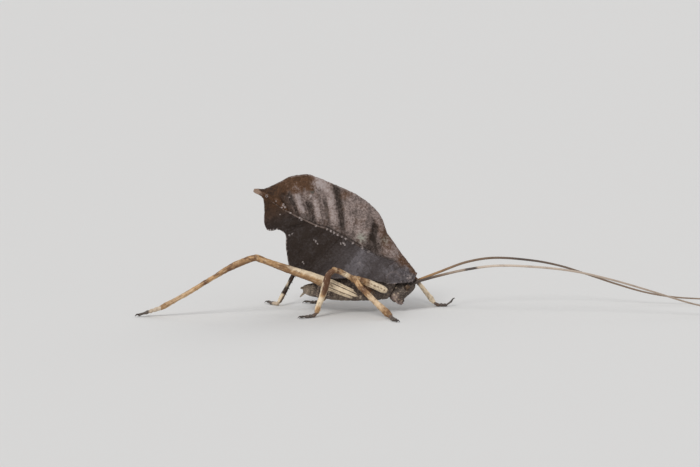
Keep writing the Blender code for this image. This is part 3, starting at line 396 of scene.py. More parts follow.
def bump(distance, radius):
    """1 at no distance, falling away smoothly over a radius."""
    return np.exp(-((distance / radius) ** 2))


def step_up(value, low, high):
    """0 before low, 1 past high and smooth between."""
    t = np.clip((value - low) / (high - low), 0, 1)
    return t * t * (3 - 2 * t)


def unit(vector):
    """Vectors of length 1 along the last axis."""
    vector = np.asarray(vector, float)
    return vector / np.linalg.norm(vector, axis=-1, keepdims=True)


def speckle(points, size, seed=0.0):
    """Smooth noise from -1 to 1 at points in millimetres."""
    shift = Vector((seed, seed, seed))
    return np.array([noise.noise(Vector(p) / size + shift) for p in points])


def ring_shape(angle, square):
    """Across and up on a ring that is round for a square of 2 and boxier above it."""
    c, s = np.cos(angle), np.sin(angle)
    return np.sign(c) * np.abs(c) ** (2 / square), np.sign(s) * np.abs(s) ** (2 / square)


def skin(name, along, around, place, part=0.0, scale=1.0):
    """A fine grid laid over place(a, b) and merged where its edges meet; its UV map holds a and b."""
    along, around = np.asarray(along, float), np.asarray(around, float)
    deselect_all()
    bpy.ops.mesh.primitive_grid_add(x_subdivisions=len(along) - 1, y_subdivisions=len(around) - 1, size=2)
    piece = bpy.context.object
    piece.name = name
    mesh = piece.data
    spots = raw_corners(piece)
    a = along[np.rint((spots[:, 0] + 1) / 2 * (len(along) - 1)).astype(int)]
    b = around[np.rint((spots[:, 1] + 1) / 2 * (len(around) - 1)).astype(int)]
    corners = np.empty(len(mesh.loops), dtype=int)
    mesh.loops.foreach_get("vertex_index", corners)
    uv = np.stack((part + np.clip(a[corners] * scale, -0.5, 1), b[corners]), axis=1)
    mesh.uv_layers.active.data.foreach_set("uv", uv.ravel())
    mesh.vertices.foreach_set("co", (place(a, b) * MM + ORIGIN).ravel())
    mesh.update()
    choose(piece)
    bpy.ops.object.mode_set(mode="EDIT")
    bpy.ops.mesh.select_all(action="SELECT")
    bpy.ops.mesh.remove_doubles(threshold=2e-6)
    face_outwards(piece)
    bpy.ops.object.shade_smooth()
    return piece


def sweep(name, along, centre, right, up, wide, tall, sides, part=0.0, scale=1.0, relief=None, square=2.0):
    """Rings along a row of centres, each with its own half width and height; a ring of no size closes an end.

    relief(a, angle) adds a share to a ring's size.
    """
    right, up = np.broadcast_to(right, centre.shape), np.broadcast_to(up, centre.shape)

    def place(a, b):
        i = np.searchsorted(along, a - 1e-9)
        across, rise = ring_shape(2 * math.pi * b, square)
        swell = 1 + (relief(a, 2 * math.pi * b) if relief else 0)
        reach_across, reach_up = across * wide[i] * swell, rise * tall[i] * swell
        return centre[i] + right[i] * reach_across[:, None] + up[i] * reach_up[:, None]

    return skin(name, along, np.linspace(0, 1, sides + 1), place, part, scale)


def limb(name, start, end, sizes, bend=((0, 0), (1, 0)), part=0.0, relief=None, sides=40, slim=1.0):
    """A leg piece with round ends from joint to joint; its UV map runs from part to part + 1."""
    start, end = np.array(start, float), np.array(end, float)
    chord = unit(end - start)
    side = unit(np.cross(chord, (0, 0, 1)))
    length = np.linalg.norm(end - start)
    shares = np.linspace(0, 1, max(4, round(length / LIMB_STEP)))
    line = start + np.outer(shares * length, chord) + np.outer(eased(bend, shares), np.cross(side, chord))
    heading = unit(np.gradient(line, axis=0))
    turn = np.linspace(0, math.pi / 2, CAP_ROWS + 1)
    back, front = sizes[0][2] * slim * np.cos(turn[:-1]), sizes[-1][2] * slim * np.sin(turn[1:])
    near_cap, far_cap = line[0] - np.outer(back, heading[0]), line[-1] + np.outer(front, heading[-1])
    centre = np.concatenate((near_cap, line, far_cap))
    heading = np.concatenate(
        (np.tile(heading[0], (CAP_ROWS, 1)), heading, np.tile(heading[-1], (CAP_ROWS, 1))))
    share = np.concatenate((np.zeros(CAP_ROWS), shares, np.ones(CAP_ROWS)))
    along = np.concatenate((-back, shares * length, length + front))
    cap = np.concatenate((np.sin(turn[:-1]), np.ones(len(shares)), np.cos(turn[1:])))
    cap[-1] = 0
    wide = eased(column(sizes, 1), share) * cap * slim
    tall = eased(column(sizes, 2), share) * cap * slim
    shaped = (lambda a, angle: relief(np.clip(a / length, 0, 1), angle)) if relief else None
    up = np.cross(side, heading)
    return sweep(name, along, centre, side, up, wide, tall, sides, part, 1 / length, shaped, 2.3)


def smooth_route(points, step):
    """Evenly spaced points on the smooth curve through a route, and how far along it each lies."""
    points = np.array(points, float)
    lengths = np.concatenate(([0], np.cumsum(np.linalg.norm(np.diff(points, axis=0), axis=1))))
    places = np.linspace(0, lengths[-1], round(lengths[-1] / step) + 1)
    return np.stack([eased(list(zip(lengths, points[:, k])), places) for k in range(3)], axis=1), places


def taper(*stops):
    """A tube's radius through (distance, radius) stops."""
    places, radii = zip(*stops)
    return lambda distance: np.interp(distance, places, radii)


def tube(name, points, radius, sides=12, step=0.1, part=0.0, flat=1.0):
    """A tube along a route, with radius(distance) and closed ends."""
    route, places = smooth_route(points, step)
    heading = unit(np.gradient(route, axis=0))
    side = unit(np.cross(heading, (0, 0, 1)))
    up = np.cross(side, heading)
    wide = radius(places)
    wide[0] = wide[-1] = 0
    return sweep(name, places, route, side, up, wide, wide * flat, sides, part, 1 / places[-1])


def settle(piece, name, spot):
    """Fixes a new primitive's size and place, smooths it and sets its UV map to one spot."""
    piece.name = name
    bpy.ops.object.transform_apply(location=True, rotation=True, scale=True)
    bpy.ops.object.shade_smooth()
    layer = piece.data.uv_layers.active.data
    layer.foreach_set("uv", np.tile(spot, len(layer)))
    return piece


def lump(name, centre, half, spot=(0.5, 0.5), detail=32):
    """A round lump with its own half widths."""
    deselect_all()
    bpy.ops.mesh.primitive_uv_sphere_add(
        segments=detail, ring_count=detail * 3 // 4, radius=1, location=ORIGIN + np.array(centre) * MM)
    bpy.context.object.scale = np.array(half) * MM
    return settle(bpy.context.object, name, spot)


def spike(name, root, tip, radius, spot):
    """A small thorn from a root to a tip."""
    root, tip = Vector(root), Vector(tip)
    middle = Vector(ORIGIN) + (root + tip) / 2 * MM
    turn = (tip - root).to_track_quat("Z", "Y").to_euler()
    deselect_all()
    bpy.ops.mesh.primitive_cone_add(
        vertices=8, radius1=radius * MM, radius2=0.12 * radius * MM, depth=(tip - root).length * MM,
        location=middle, rotation=turn)
    return settle(bpy.context.object, name, spot)


def join(name, pieces):
    """Joins pieces into the first one."""
    deselect_all()
    for piece in pieces:
        piece.select_set(True)
    bpy.context.view_layer.objects.active = pieces[0]
    bpy.ops.object.join()
    pieces[0].name = name
    pieces[0].data.name = name
    return pieces[0]


def finish_modifier(piece, kind, **settings):
    """Adds a modifier and applies it."""
    choose(piece)
    modifier = piece.modifiers.new(kind.lower(), kind)
    for key, value in settings.items():
        setattr(modifier, key, value)
    bpy.ops.object.modifier_apply(modifier=modifier.name)


def roughen(piece, grain, depth):
    """Pushes a surface in and out by clouds with a grain in millimetres and a depth in metres."""
    pattern = bpy.data.textures.new(piece.name + "_grain", "CLOUDS")
    pattern.noise_scale = grain * MM
    pattern.noise_depth = 3
    finish_modifier(piece, "DISPLACE", texture=pattern, texture_coords="LOCAL", strength=depth, mid_level=0.5)


def face_outwards(piece):
    """Turns all of a closed piece's faces outwards."""
    choose(piece)
    bpy.ops.object.mode_set(mode="EDIT")
    bpy.ops.mesh.select_all(action="SELECT")
    bpy.ops.mesh.normals_make_consistent(inside=False)
    bpy.ops.object.mode_set(mode="OBJECT")


def thicken(piece, thickness, offset):
    """Gives a sheet its thickness, in metres."""
    finish_modifier(piece, "SOLIDIFY", thickness=thickness, offset=offset, use_even_offset=False)
    face_outwards(piece)


def raw_corners(piece):
    """A piece's corners as Blender keeps them, in metres."""
    spots = np.empty(len(piece.data.vertices) * 3)
    piece.data.vertices.foreach_get("co", spots)
    return spots.reshape(-1, 3)


def corners_of(piece):
    """A piece's corners in millimetres."""
    return (raw_corners(piece) - ORIGIN) / MM


def reshape(piece, shape):
    """Moves a piece's corners by shape(points)."""
    piece.data.vertices.foreach_set("co", (shape(corners_of(piece)) * MM + ORIGIN).ravel())
    piece.data.update()


def mark(piece, name, measure):
    """Keeps measure(points) on a piece's corners for its material to read."""
    values = measure(corners_of(piece)).astype(np.float32)
    piece.data.attributes.new(name, "FLOAT", "POINT").data.foreach_set("value", values)


def hand_over(piece, slot, material, *nodes):
    """Gives a finished piece its material and its place in the frame."""
    piece.data.materials.clear()
    piece.data.materials.append(material)
    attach(piece, "root")
    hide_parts(*nodes)


# Making materials


class Wire:
    """A socket of a material's node, with the arithmetic that adds Math nodes."""

    def __init__(self, maker, socket):
        self.maker = maker
        self.socket = socket

    def maths(self, operation, other=None, turned=False):
        """A Math node fed by this socket and another value, in that order unless turned."""
        pair = (other, self) if turned else (self, other)
        values = {0: pair[0]} if other is None else {0: pair[0], 1: pair[1]}
        return self.maker.node("ShaderNodeMath", {"operation": operation}, values)

    def __add__(self, other):
        return self.maths("ADD", other)

    __radd__ = __add__

    def __sub__(self, other):
        return self.maths("SUBTRACT", other)

    def __rsub__(self, other):
        return self.maths("SUBTRACT", other, True)

    def __mul__(self, other):
        return self.maths("MULTIPLY", other)

    __rmul__ = __mul__

    def __truediv__(self, other):
        return self.maths("DIVIDE", other)

    def __rtruediv__(self, other):
        return self.maths("DIVIDE", other, True)

    def __abs__(self):
        return self.maths("ABSOLUTE")


class Finish:
    """Builds one material's nodes. Its tint is a first colour and the coats laid over it."""

    def __init__(self, name, tint=None):
        self.material = bpy.data.materials.new(name)
        self.material.use_nodes = True
        self.tree = self.material.node_tree
        self.shader = self.tree.nodes["Principled BSDF"]
        self.spot = self.node("ShaderNodeTexCoord", output="Object")
        self.u, self.v, _ = self.parts(self.node("ShaderNodeTexCoord", output="UV"))
        self.flat = None
        self.tint = tint

    def node(self, kind, settings=None, inputs=None, output=0):
        """Any node, from its type, its settings and the values or links of its sockets."""
        made = self.tree.nodes.new(kind)
        for key, value in (settings or {}).items():
            if key == "stops":
                self.set_stops(made.color_ramp, value)
            else:
                setattr(made, key, value)
        for key, value in (inputs or {}).items():
            self.feed(made.inputs[key], value)
        return Wire(self, made.outputs[output])

    def feed(self, socket, value):
        """Links a socket to a wire, or sets its value."""
        if isinstance(value, Wire):
            self.tree.links.new(value.socket, socket)
        elif isinstance(value, tuple) and socket.type == "RGBA":
            socket.default_value = (*value, 1.0)
        else:
            socket.default_value = value

    def set_stops(self, ramp, stops):
        """Sets a ramp's stops, each a place with a colour or a grey."""
        while len(ramp.elements) < len(stops):
            ramp.elements.new(1.0)
        for element, (place, tint) in zip(ramp.elements, stops):
            element.position = place
            element.color = (*tint, 1.0) if isinstance(tint, tuple) else (tint, tint, tint, 1.0)

    def parts(self, vector):
        """The three numbers of a vector."""
        made = self.node("ShaderNodeSeparateXYZ", {}, {0: vector})
        return [Wire(self, made.socket.node.outputs[k]) for k in range(3)]

    def grain(self, size, detail=3.0, where=None, output=0):
        """Cloudy noise from 0 to 1 with spots of a size in millimetres."""
        inputs = {"Vector": where or self.spot, "Scale": 1 / (size * MM), "Detail": detail, "Roughness": 0.55}
        return self.node("ShaderNodeTexNoise", {}, inputs, output)

    def warped(self, size, amount):
        """Object coordinates pushed about by noise, both in millimetres."""
        return self.node("ShaderNodeVectorMath", {"operation": "MULTIPLY_ADD"}, {
            0: self.grain(size, 2.0, output=1), 1: (amount * MM,) * 3, 2: self.spot})

    def cells(self, feature, size, where=None):
        """Distances in a pattern of cells of a size in millimetres."""
        return self.node("ShaderNodeTexVoronoi", {"feature": feature}, {
            "Vector": where or self.spot, "Scale": 1 / (size * MM)})

    def ramp(self, value, stops):
        """The colour that a value has on a ramp."""
        return self.node("ShaderNodeValToRGB", {"stops": stops}, {0: value})

    def window(self, value, low, high):
        """0 before low, 1 past high and smooth between."""
        return self.node("ShaderNodeMapRange", {"interpolation_type": "SMOOTHSTEP"}, {
            "Value": value, "From Min": low, "From Max": high})

    def mix(self, factor, under, over):
        """A colour from under, at a factor of 0, to over, at 1."""
        return self.node("ShaderNodeMix", {"data_type": "RGBA"}, {0: factor, 6: under, 7: over}, 2)

    def coat(self, share, over):
        """Lays a colour over the tint made so far."""
        self.tint = self.mix(share, self.tint, over)

    def patch(self, x, z, radius, soft=0.5, wobble=0.0):
        """1 round a length and height on either side of the insect, 0 outside the radius, in millimetres."""
        if self.flat is None:
            along, _, up = self.parts(self.spot)
            self.flat = self.node("ShaderNodeCombineXYZ", {}, {0: along, 2: up})
        middle = (float(ORIGIN[0]) + x * MM, 0.0, z * MM)
        reach = self.node("ShaderNodeVectorMath", {"operation": "DISTANCE"}, {0: self.flat, 1: middle}, 1)
        if wobble:
            reach = reach + (self.grain(wobble * 2, 2.0) - 0.5) * wobble * 2 * MM
        return self.window(reach, radius * MM, radius * MM * (1 - soft))

    def marks(self, name):
        """What mark kept on a piece's corners."""
        return self.node("ShaderNodeAttribute", {"attribute_name": name}, {}, 2)

    def done(self, roughness, height=None, depth=0.1, shine=0.25):
        """Wires up the tint, the roughness and a bump whose height is in millimetres."""
        self.feed(self.shader.inputs["Base Color"], self.tint)
        self.feed(self.shader.inputs["Roughness"], roughness)
        if height is not None:
            inputs = {"Strength": 1.0, "Distance": depth * MM, "Height": height}
            self.feed(self.shader.inputs["Normal"], self.node("ShaderNodeBump", {}, inputs))
        self.shader.inputs["Specular IOR Level"].default_value = shine
        return self.material


def hues():
    """The panel's colours, each as a tuple under its own name."""
    colours = bpy.context.scene.katydid_colours
    return SimpleNamespace(**{key: tuple(getattr(colours, key)) for key in KatydidColours.__annotations__})


def blended(first, second, share):
    """A colour on the way from the first to the second."""
    return tuple(a + (b - a) * share for a, b in zip(first, second))


def slate_skin(made, tone):
    """Blue-grey of the forewing's front and the shield's sides, for a tone from 0 to 1."""
    hue = hues()
    return made.ramp(tone, [(0.0, hue.shade), (0.45, blended(hue.shade, hue.slate, 0.4)), (0.75, hue.slate),
                            (1.0, blended(hue.slate, hue.crumb, 0.45))])


def rusty_skin(made, tone):
    """Brown of the forewing's tip and crest and of the shield's ridge, for a tone from 0 to 1."""
    hue = hues()
    return made.ramp(tone, [
        (0.0, blended(hue.rust, hue.soot, 0.75)), (0.5, blended(hue.rust, hue.soot, 0.1)),
        (0.8, blended(hue.rust, hue.ridge, 0.6)), (1.0, blended(hue.ridge, hue.crumb, 0.5))])


def leaf_grain(made):
    """Broad clouds, specks and dust shared by the forewings and the shield, all round 0."""
    clouds = made.grain(1.9, 4.0) - 0.5
    specks = made.grain(0.46, 3.0, made.warped(0.6, 0.3)) - 0.5
    dust = made.grain(0.2, 2.0) - 0.5
    return clouds, specks, dust


def fold_tones(made, row, bent, wavy):
    """Lightness of the forewing's upper half, with its lit folds and dark furrows: partly own tone, partly
    painted highlight and shade.
    """
    tone = 0.6
    for place, lean, half, low, high, change in FOLDS:
        near = made.window(abs(bent - row * lean - place), half * 1.25, half * 0.5)
        shown = made.window(wavy, low - 0.07, low + 0.07) * made.window(wavy, high + 0.06, high - 0.06)
        tone = near * shown * change + tone
    return tone


def paint_upper_half(made, along, row, clouds, specks, dust):
    """The forewing above its midrib: folds dull next to the midrib, rusty at the crest, tip and front."""
    hue = hues()
    bent, wavy = along + clouds * 0.6 + specks * 0.3, row + clouds * 0.22 + specks * 0.1
    tone = fold_tones(made, row, bent, wavy) - made.window(along, 6.0, 4.0) * 0.04
    dull = made.window(row, 0.02, 0.24) * 0.45 + 0.55
    tone = tone * dull + (specks * 1.05 + dust * 0.85 + clouds * 0.5)
    top = made.window(wavy + clouds * 0.3, 0.58, 0.74) * made.window(bent + clouds * 3, 14.7, 16.3)
    tip = made.window(bent + clouds * 1.5, 20.0, 22.6)
    strip = made.window(wavy - along * 0.1, 0.1, 0.35) * made.window(bent, 5.4, 3.6) * 0.75
    red = made.patch(-4.9, 23.6, 1.7, 0.9, 0.9) * 0.8 + made.window(clouds - specks * 0.4, 0.0, 0.14) * 0.35
    lit = made.patch(-14.6, 24.6, 1.6, 0.9, 0.8) * 0.22 + made.patch(4.8, 12.1, 2.2, 0.9, 0.8) * 0.26
    green = made.patch(-1.65, 15.1, 1.5, 0.9, 0.5) * 0.85 + made.patch(2.9, 14.6, 1.2, 0.9, 0.6) * 0.4
    made.tint = made.ramp(tone, [
        (0.0, hue.valley), (0.45, blended(hue.valley, hue.ridge, 0.4)), (0.75, hue.ridge),
        (1.0, blended(hue.ridge, hue.crumb, 0.65))])
    made.coat(top.maths("MAXIMUM", tip).maths("MAXIMUM", strip).maths("MAXIMUM", red),
              rusty_skin(made, tone - top * 0.24 - tip * 0.2 + lit))
    made.coat(green * made.window(specks, -0.14, 0.06), hue.sage)


def lower_half(made, along, clouds, specks, dust):
    """Colour below the midrib, partly painted shade: blue-grey over the thorax, then nearly black, then brown
    on the lobe.
    """
    low = made.ramp((along + clouds * 3) / WING_LENGTH, [(p / WING_LENGTH, t) for p, t in LOWER_TONES])
    low = low * 0.75 + specks * 0.6 + dust * 0.4 + clouds * 0.5
    brown = made.window(along + clouds * 4, 20.5, 25.0)
    return made.mix(brown, slate_skin(made, low), rusty_skin(made, low))


def wing_finish():
    """A dead leaf, with its midrib, rim, tail, crumbs and a lit patch and a dark spot near the top."""
    hue = hues()
    made = Finish("dead_leaf")
    along, row = made.u * WING_LENGTH, made.v * 2 - 1
    clouds, specks, dust = leaf_grain(made)
    paint_upper_half(made, along, row, clouds, specks, dust)
    made.coat(made.window(row, 0.02, -0.03), lower_half(made, along, clouds, specks, dust))
    made.coat(made.patch(-10.2, 25.5, 1.9, 0.9, 0.8) * made.window(specks, -0.12, 0.08) * 0.75,
              blended(hue.slate, hue.crumb, 0.75))
    made.coat(made.patch(-11.45, 24.15, 0.6, 0.8, 0.35) * 0.9, blended(hue.soot, hue.sage, 0.2))
    made.coat(made.patch(-11.8, 23.3, 0.42, 0.8, 0.4) * made.window(dust, -0.1, 0.05), hue.crumb)
    web = made.window(made.cells("DISTANCE_TO_EDGE", 0.5, made.warped(0.5, 0.5)), 0.08, 0.0)
    made.coat(web * 0.04, hue.soot)
    line = made.window(abs(row - 0.03), 0.035, 0.01) * made.window(along, 5.0, 7.0)
    made.coat(line * 0.6, hue.soot)
    rib = made.window(abs(row + 0.002 + specks * 0.02), 0.017, 0.004) * made.window(along, 12.0, 17.0)
    made.coat(rib * made.window(specks, -0.16, 0.1) * 0.8, blended(hue.rust, hue.crumb, 0.32))
    rim = made.window(abs(row), 0.972, 0.988) * made.window(specks, -0.06, 0.08)
    made.coat(rim * 0.5, blended(hue.ridge, hue.crumb, 0.3))
    made.coat(made.window(along + specks, 28.0, 29.0) * 0.8, blended(hue.ridge, hue.straw, 0.3))
    made.coat(made.marks("crumbs") * made.window(dust + specks, -0.16, -0.02) * 0.85, hue.crumb)
    return made.done(specks * 0.3 + 0.7, specks * 0.8 + dust * 0.5 + web * 0.08, 0.13, 0.1)


def shield_finish():
    """The shield: rusty along its ridge and blue-grey on its sides, with a paler ring, knobs and rim."""
    hue = hues()
    made = Finish("grained_shield")
    down = abs(made.u - 0.5) * (2 * SHIELD_STEPS)
    clouds, specks, dust = leaf_grain(made)
    tone = clouds * 0.7 + specks * 0.9 + dust * 0.6
    made.tint = rusty_skin(made, tone + 0.55)
    made.coat(made.window(down + clouds * 2.5, 1.5, 2.9), slate_skin(made, tone + 0.5))
    x, z, radius = DOME
    ring = made.patch(x, z, radius + 0.3, 0.3, 0.25) * (1 - made.patch(x, z, radius, 0.25, 0.25))
    made.coat(ring * made.window(down, 5.4, 4.6) * 0.25, hue.ridge)
    for x, z, radius in TUBERCLES:
        made.coat(made.patch(x, z, radius, 0.7, 0.15) * 0.35, blended(hue.ridge, hue.crumb, 0.4))
    made.coat(made.patch(7.9, 7.0, 1.0, 0.9, 0.5) * made.window(specks, -0.05, 0.08) * 0.6,
              blended(hue.ridge, hue.crumb, 0.5))
    rim = made.window(down, 5.72, 5.88) * made.window(specks, -0.06, 0.08)
    made.coat(rim * 0.5, blended(hue.ridge, hue.crumb, 0.3))
    return made.done(clouds * 0.2 + 0.65, specks * 0.8 + dust * 0.6, 0.13, 0.12)


def hide_finish(name, base, patches=(), ringed=False):
    """Speckled skin of the body and head; patches are (length, height, radius, colour, strength)."""
    hue = hues()
    made = Finish(name, blended(base, hue.soot, 0.55))
    clouds, fine = made.grain(1.0, 4.0), made.grain(0.26, 3.0)
    made.coat(made.window(clouds + (fine - 0.5) * 0.5, 0.36, 0.64), base)
    for x, z, radius, tone, strength in patches:
        made.coat(made.patch(x, z, radius, 0.9, 0.4) * strength, tone)
    made.coat(made.window(fine, 0.5, 0.72) * 0.6, blended(base, hue.chalk, 0.35))
    made.coat(made.window(made.grain(0.18, 3.0), 0.52, 0.72) * 0.6, blended(base, hue.soot, 0.75))
    if ringed:
        fringe = made.marks("fringes") * made.window(fine, 0.44, 0.6)
        made.coat(fringe * 0.8, blended(hue.rose, hue.chalk, 0.45))
        made.coat(made.marks("seams") * made.window(clouds, 0.62, 0.4) * 0.65, hue.soot)
    return made.done(clouds * 0.2 + 0.55, fine * 0.6 + made.grain(0.1, 2.0) * 0.2, 0.08, 0.15)


def leg_finish(name, stops, blotch, bands=(), dots=0.0):
    """Skin of a leg: hues along it (coxa -1 to 0, femur 0 to 1, tibia 1 to 2), streaks, blotches and dots.

    A band is (middle round the leg, half width, from, to, colour, strength).
    """
    hue = hues()
    made = Finish(name)
    u, v = made.u, made.v
    clouds = made.grain(1.3, 4.0)
    lengthwise = made.node("ShaderNodeCombineXYZ", {}, {0: u * 0.0022, 1: v * 0.0035, 2: 0.0})
    streaks = made.grain(0.24, 3.0, lengthwise)
    mottle = made.grain(0.5, 3.0, made.warped(0.5, 0.3))
    made.tint = made.ramp((u + (clouds - 0.5) * 0.12 + 1) / 3, [((p + 1) / 3, tone) for p, tone in stops])
    flecks = streaks + (mottle - 0.5) * 0.6
    made.coat(made.window(flecks, 0.5, 0.74) * 0.7, hue.bark)
    made.coat(made.window(flecks, 0.46, 0.28) * 0.4, hue.chalk)
    wander = (made.grain(0.5, 2.0) - 0.5) * 0.9
    for middle, half, first, last, tone, strength in bands:
        inside = made.window(abs(v + wander * half - middle), half, half * 0.45)
        inside = inside * made.window(u, first, first + 0.06) * made.window(u, last, last - 0.06)
        made.coat(inside * strength, tone)
    blotched = made.ramp((u + 1) / 3, [((p + 1) / 3, tone) for p, tone in blotch])
    made.coat(made.window(clouds + (streaks - 0.5) * 0.3, 0.49, 0.6) * blotched, hue.bark)
    if dots:
        beat, off = (u * 9).maths("FRACT") - 0.5, v - 0.5
        ring = (beat * beat * 0.3 + off * off * 40).maths("SQRT")
        made.coat(made.window(ring, 0.24, 0.08) * made.window(u, 1.0, 0.9) * dots,
                  blended(hue.bark, hue.straw, 0.25))
    made.coat(made.window(made.grain(0.2, 2.0), 0.62, 0.72) * 0.4, hue.bark)
    height = streaks * 0.4 + mottle * 0.4 + made.grain(0.18, 3.0) * 0.4
    return made.done(clouds * 0.2 + 0.45, height, 0.08, 0.2)


def foot_finish(name, light, pad, reach):
    """Skin of a foot: light up to a reach along it, then the pads' colour, darker at the claws."""
    hue = hues()
    made = Finish(name)
    made.tint = made.ramp(made.u, [
        (0.0, light), (reach, blended(light, pad, 0.2)), (reach + 0.08, pad),
        (0.85, blended(pad, hue.soot, 0.35)), (1.0, blended(pad, hue.soot, 0.6))])
    made.coat(made.window(made.grain(0.3, 3.0), 0.5, 0.7) * 0.5, blended(pad, hue.chalk, 0.25))
    return made.done(0.5, made.grain(0.15, 3.0), 0.05)


def feeler_finish(name, stops, rings):
    """Skin of a feeler: hues along it and a number of faint rings."""
    hue = hues()
    made = Finish(name)
    made.tint = made.ramp(made.u + (made.grain(2.5, 2.0) - 0.5) * 0.01, stops)
    made.coat(made.window(abs((made.u * rings).maths("FRACT") - 0.5), 0.4, 0.5) * 0.12, hue.bark)
    made.coat(made.window(made.grain(1.2, 3.0), 0.5, 0.7) * 0.3, hue.bark)
    return made.done(0.45, made.grain(0.12, 2.0), 0.03)


def eye_finish():
    """A dark eye of fine facets with a browner cloud in it."""
    hue = hues()
    made = Finish("faceted_eye", hue.eye)
    facets = made.cells("F1", 0.07)
    made.coat(made.window(made.grain(0.6, 2.0), 0.45, 0.6), blended(hue.eye, hue.straw, 0.2))
    made.coat(made.window(facets, 0.3, 0.7) * 0.5, hue.soot)
    return made.done(0.28, 1 - facets, 0.015)


# Forewings


def wing_place(along, across):
    """Length and height on the insect of a place along and across the midrib."""
    return (WING_ROOT[0] - along * math.cos(WING_PITCH) + across * math.sin(WING_PITCH),
            WING_ROOT[1] + along * math.sin(WING_PITCH) + across * math.cos(WING_PITCH))


def edge_teeth(places):
    """Ragged teeth at places along the forewing's edge."""
    broad, fine = (np.array([noise.noise(Vector((place * pace, 0.5, row))) for place in places])
                   for pace, row in ((1.7, 2.0), (4.1, 6.0)))
    return broad + 0.7 * fine


def root_shift(a, reach, top):
    """How far a forewing's root moves along the insect to lie under the shield's rear margin."""
    start = np.where(top, VEIN_TOP_END[0][1], VEIN_LOW_END[0][1])
    edge = np.where(top, eased(WING_TOP_EDGE, start), eased(WING_LOW_EDGE, start))
    x, z = wing_place(start * reach**VEIN_SWEEP, edge * reach)
    tuck = 0.6 - 0.5 * top * reach**3
    return (eased(SHOULDER, z) + tuck - x) * np.clip(1 - a / np.where(top, 3, 5), 0, 1)


def roof_offset(u, v):
    """A forewing's distance from the middle plane, spreading from the crest down to the lower edge."""
    high, low = eased(WING_TOP_EDGE, u), eased(WING_LOW_EDGE, u)
    share = np.clip((high - v) / np.maximum(high - low, 0.01), 0, 1)
    return CREST_OFFSET + (eased(SIDE_OFFSET, u) - CREST_OFFSET) * share ** eased(ROOF_CURVE, u)


def tucked(offset, x, z):
    """A forewing's offset drawn in to slip under the shield, and kept clear of the other wing."""
    behind = eased(SHOULDER, z) - x
    under = [(height, half) for half, height in reversed(SHIELD_REAR)]
    flush = np.maximum(eased(under, z), 0.75) - 0.33 - 0.25 * step_up(-behind, -0.1, 0.5)
    near = bump(np.maximum(behind, 0), 1.3) * step_up(-z, -12.4, -11.4)
    return np.maximum(offset + (flush - offset) * near, LEAST_OFFSET)


def wing_surface(a, b, side):
    """Points of a forewing's middle surface: a along the midrib, b from lower edge -1 to top edge 1."""
    sizes = bpy.context.scene.katydid_sizes
    top, reach = b > 0, np.abs(b)
    end = np.where(top, eased(VEIN_TOP_END, a), eased(VEIN_LOW_END, a))
    edge = np.where(top, eased(WING_TOP_EDGE, end), eased(WING_LOW_EDGE, end))
    ragged = edge_teeth(end) * reach**14 * step_up(a, 0.5, 3) * step_up(-a, -30.4, -28)
    u = a + (end - a) * reach**VEIN_SWEEP
    v = edge * reach + np.sign(b) * ragged * sizes.edge_tooth / MM
    v = v + eased(MIDRIB_DROOP, a) * (1 - reach) + eased(TIP_DROOP, u)
    x, z = wing_place(u, v)
    x = x + root_shift(a, reach, top)
    crumbs = crumb_strength(np.stack((x, 0 * x, z), axis=1))
    offset = tucked(roof_offset(u, v) + wing_relief(a, b, sizes) + 0.09 * crumbs, x, z)
    return np.stack((x, side * offset, z), axis=1)


def wing_relief(a, b, sizes):
    """Pleats, veins, the midrib, beads and small buckles of a forewing, in millimetres."""
    top, reach = b > 0, np.abs(b)
    inner = np.where(top, np.sin(math.pi * reach), 0)
    outer = np.where(top, 0, np.sin(math.pi * reach))
    fade = np.clip(a / 2, 0, 1) * np.clip((WING_LENGTH - a) / 5, 0, 1)
    relief = sizes.pleat_swell / MM * inner * fade
    between = np.clip(reach / 0.04, 0, 1) * np.clip((1 - reach) / 0.05, 0, 1)
    lean = 0.9 * (reach - 0.4) * top
    for place, depth, half, high in FURROWS:
        near = a - place - lean
        cut = depth * inner * fade * step_up(-reach, -high - 0.15, -high + 0.15)
        relief = relief - cut * bump(near, half) - 0.22 * depth * bump(near, 0.9) * outer * fade
        for shift, height in ((0, 1.0), (1.3, 0.6)):
            vein = bump(a - place - shift, 0.11) * between * np.clip((28 - a) / 6, 0, 1)
            relief = relief + height * sizes.vein_height / MM * vein
    midrib = bump(reach, np.where(top, 0.012, 0.011)) * np.clip((WING_LENGTH - a) / 9, 0, 1)
    beads = sum(bump(a - bead, 0.13) for bead in BEADS) * bump(b + 0.012, 0.015)
    buckle = np.array([noise.noise(Vector((p * 0.55, q * 3.2, 4.0))) for p, q in zip(a, b)])
    fine = np.array([noise.noise(Vector((p * 2.1, q * 10.0, 9.0))) for p, q in zip(a, b)])
    loose = np.clip(a / 3, 0, 1) * np.clip((1 - reach) / 0.1, 0, 1)
    relief = relief + 0.17 * midrib + 0.07 * beads + (0.22 * buckle + 0.06 * fine) * loose
    return np.where(b > 0.9, np.maximum(relief, 0), relief)


def crumb_strength(points):
    """How pale the crumbs and the midrib's beads make the wing at points in millimetres."""
    spots = list(CRUMBS)
    for bead in BEADS:
        spots.append((*wing_place(bead, float(eased(MIDRIB_DROOP, bead)) - 0.1), 0.16))
    shape = 1 + 0.7 * speckle(points * (1, 0, 1), 0.15)
    pale = np.zeros(len(points))
    for x, z, radius in spots:
        away = np.hypot(points[:, 0] - x, points[:, 2] - z) * shape
        pale = np.maximum(pale, step_up(-away, -radius * 1.15, -radius * 0.6))
    return pale


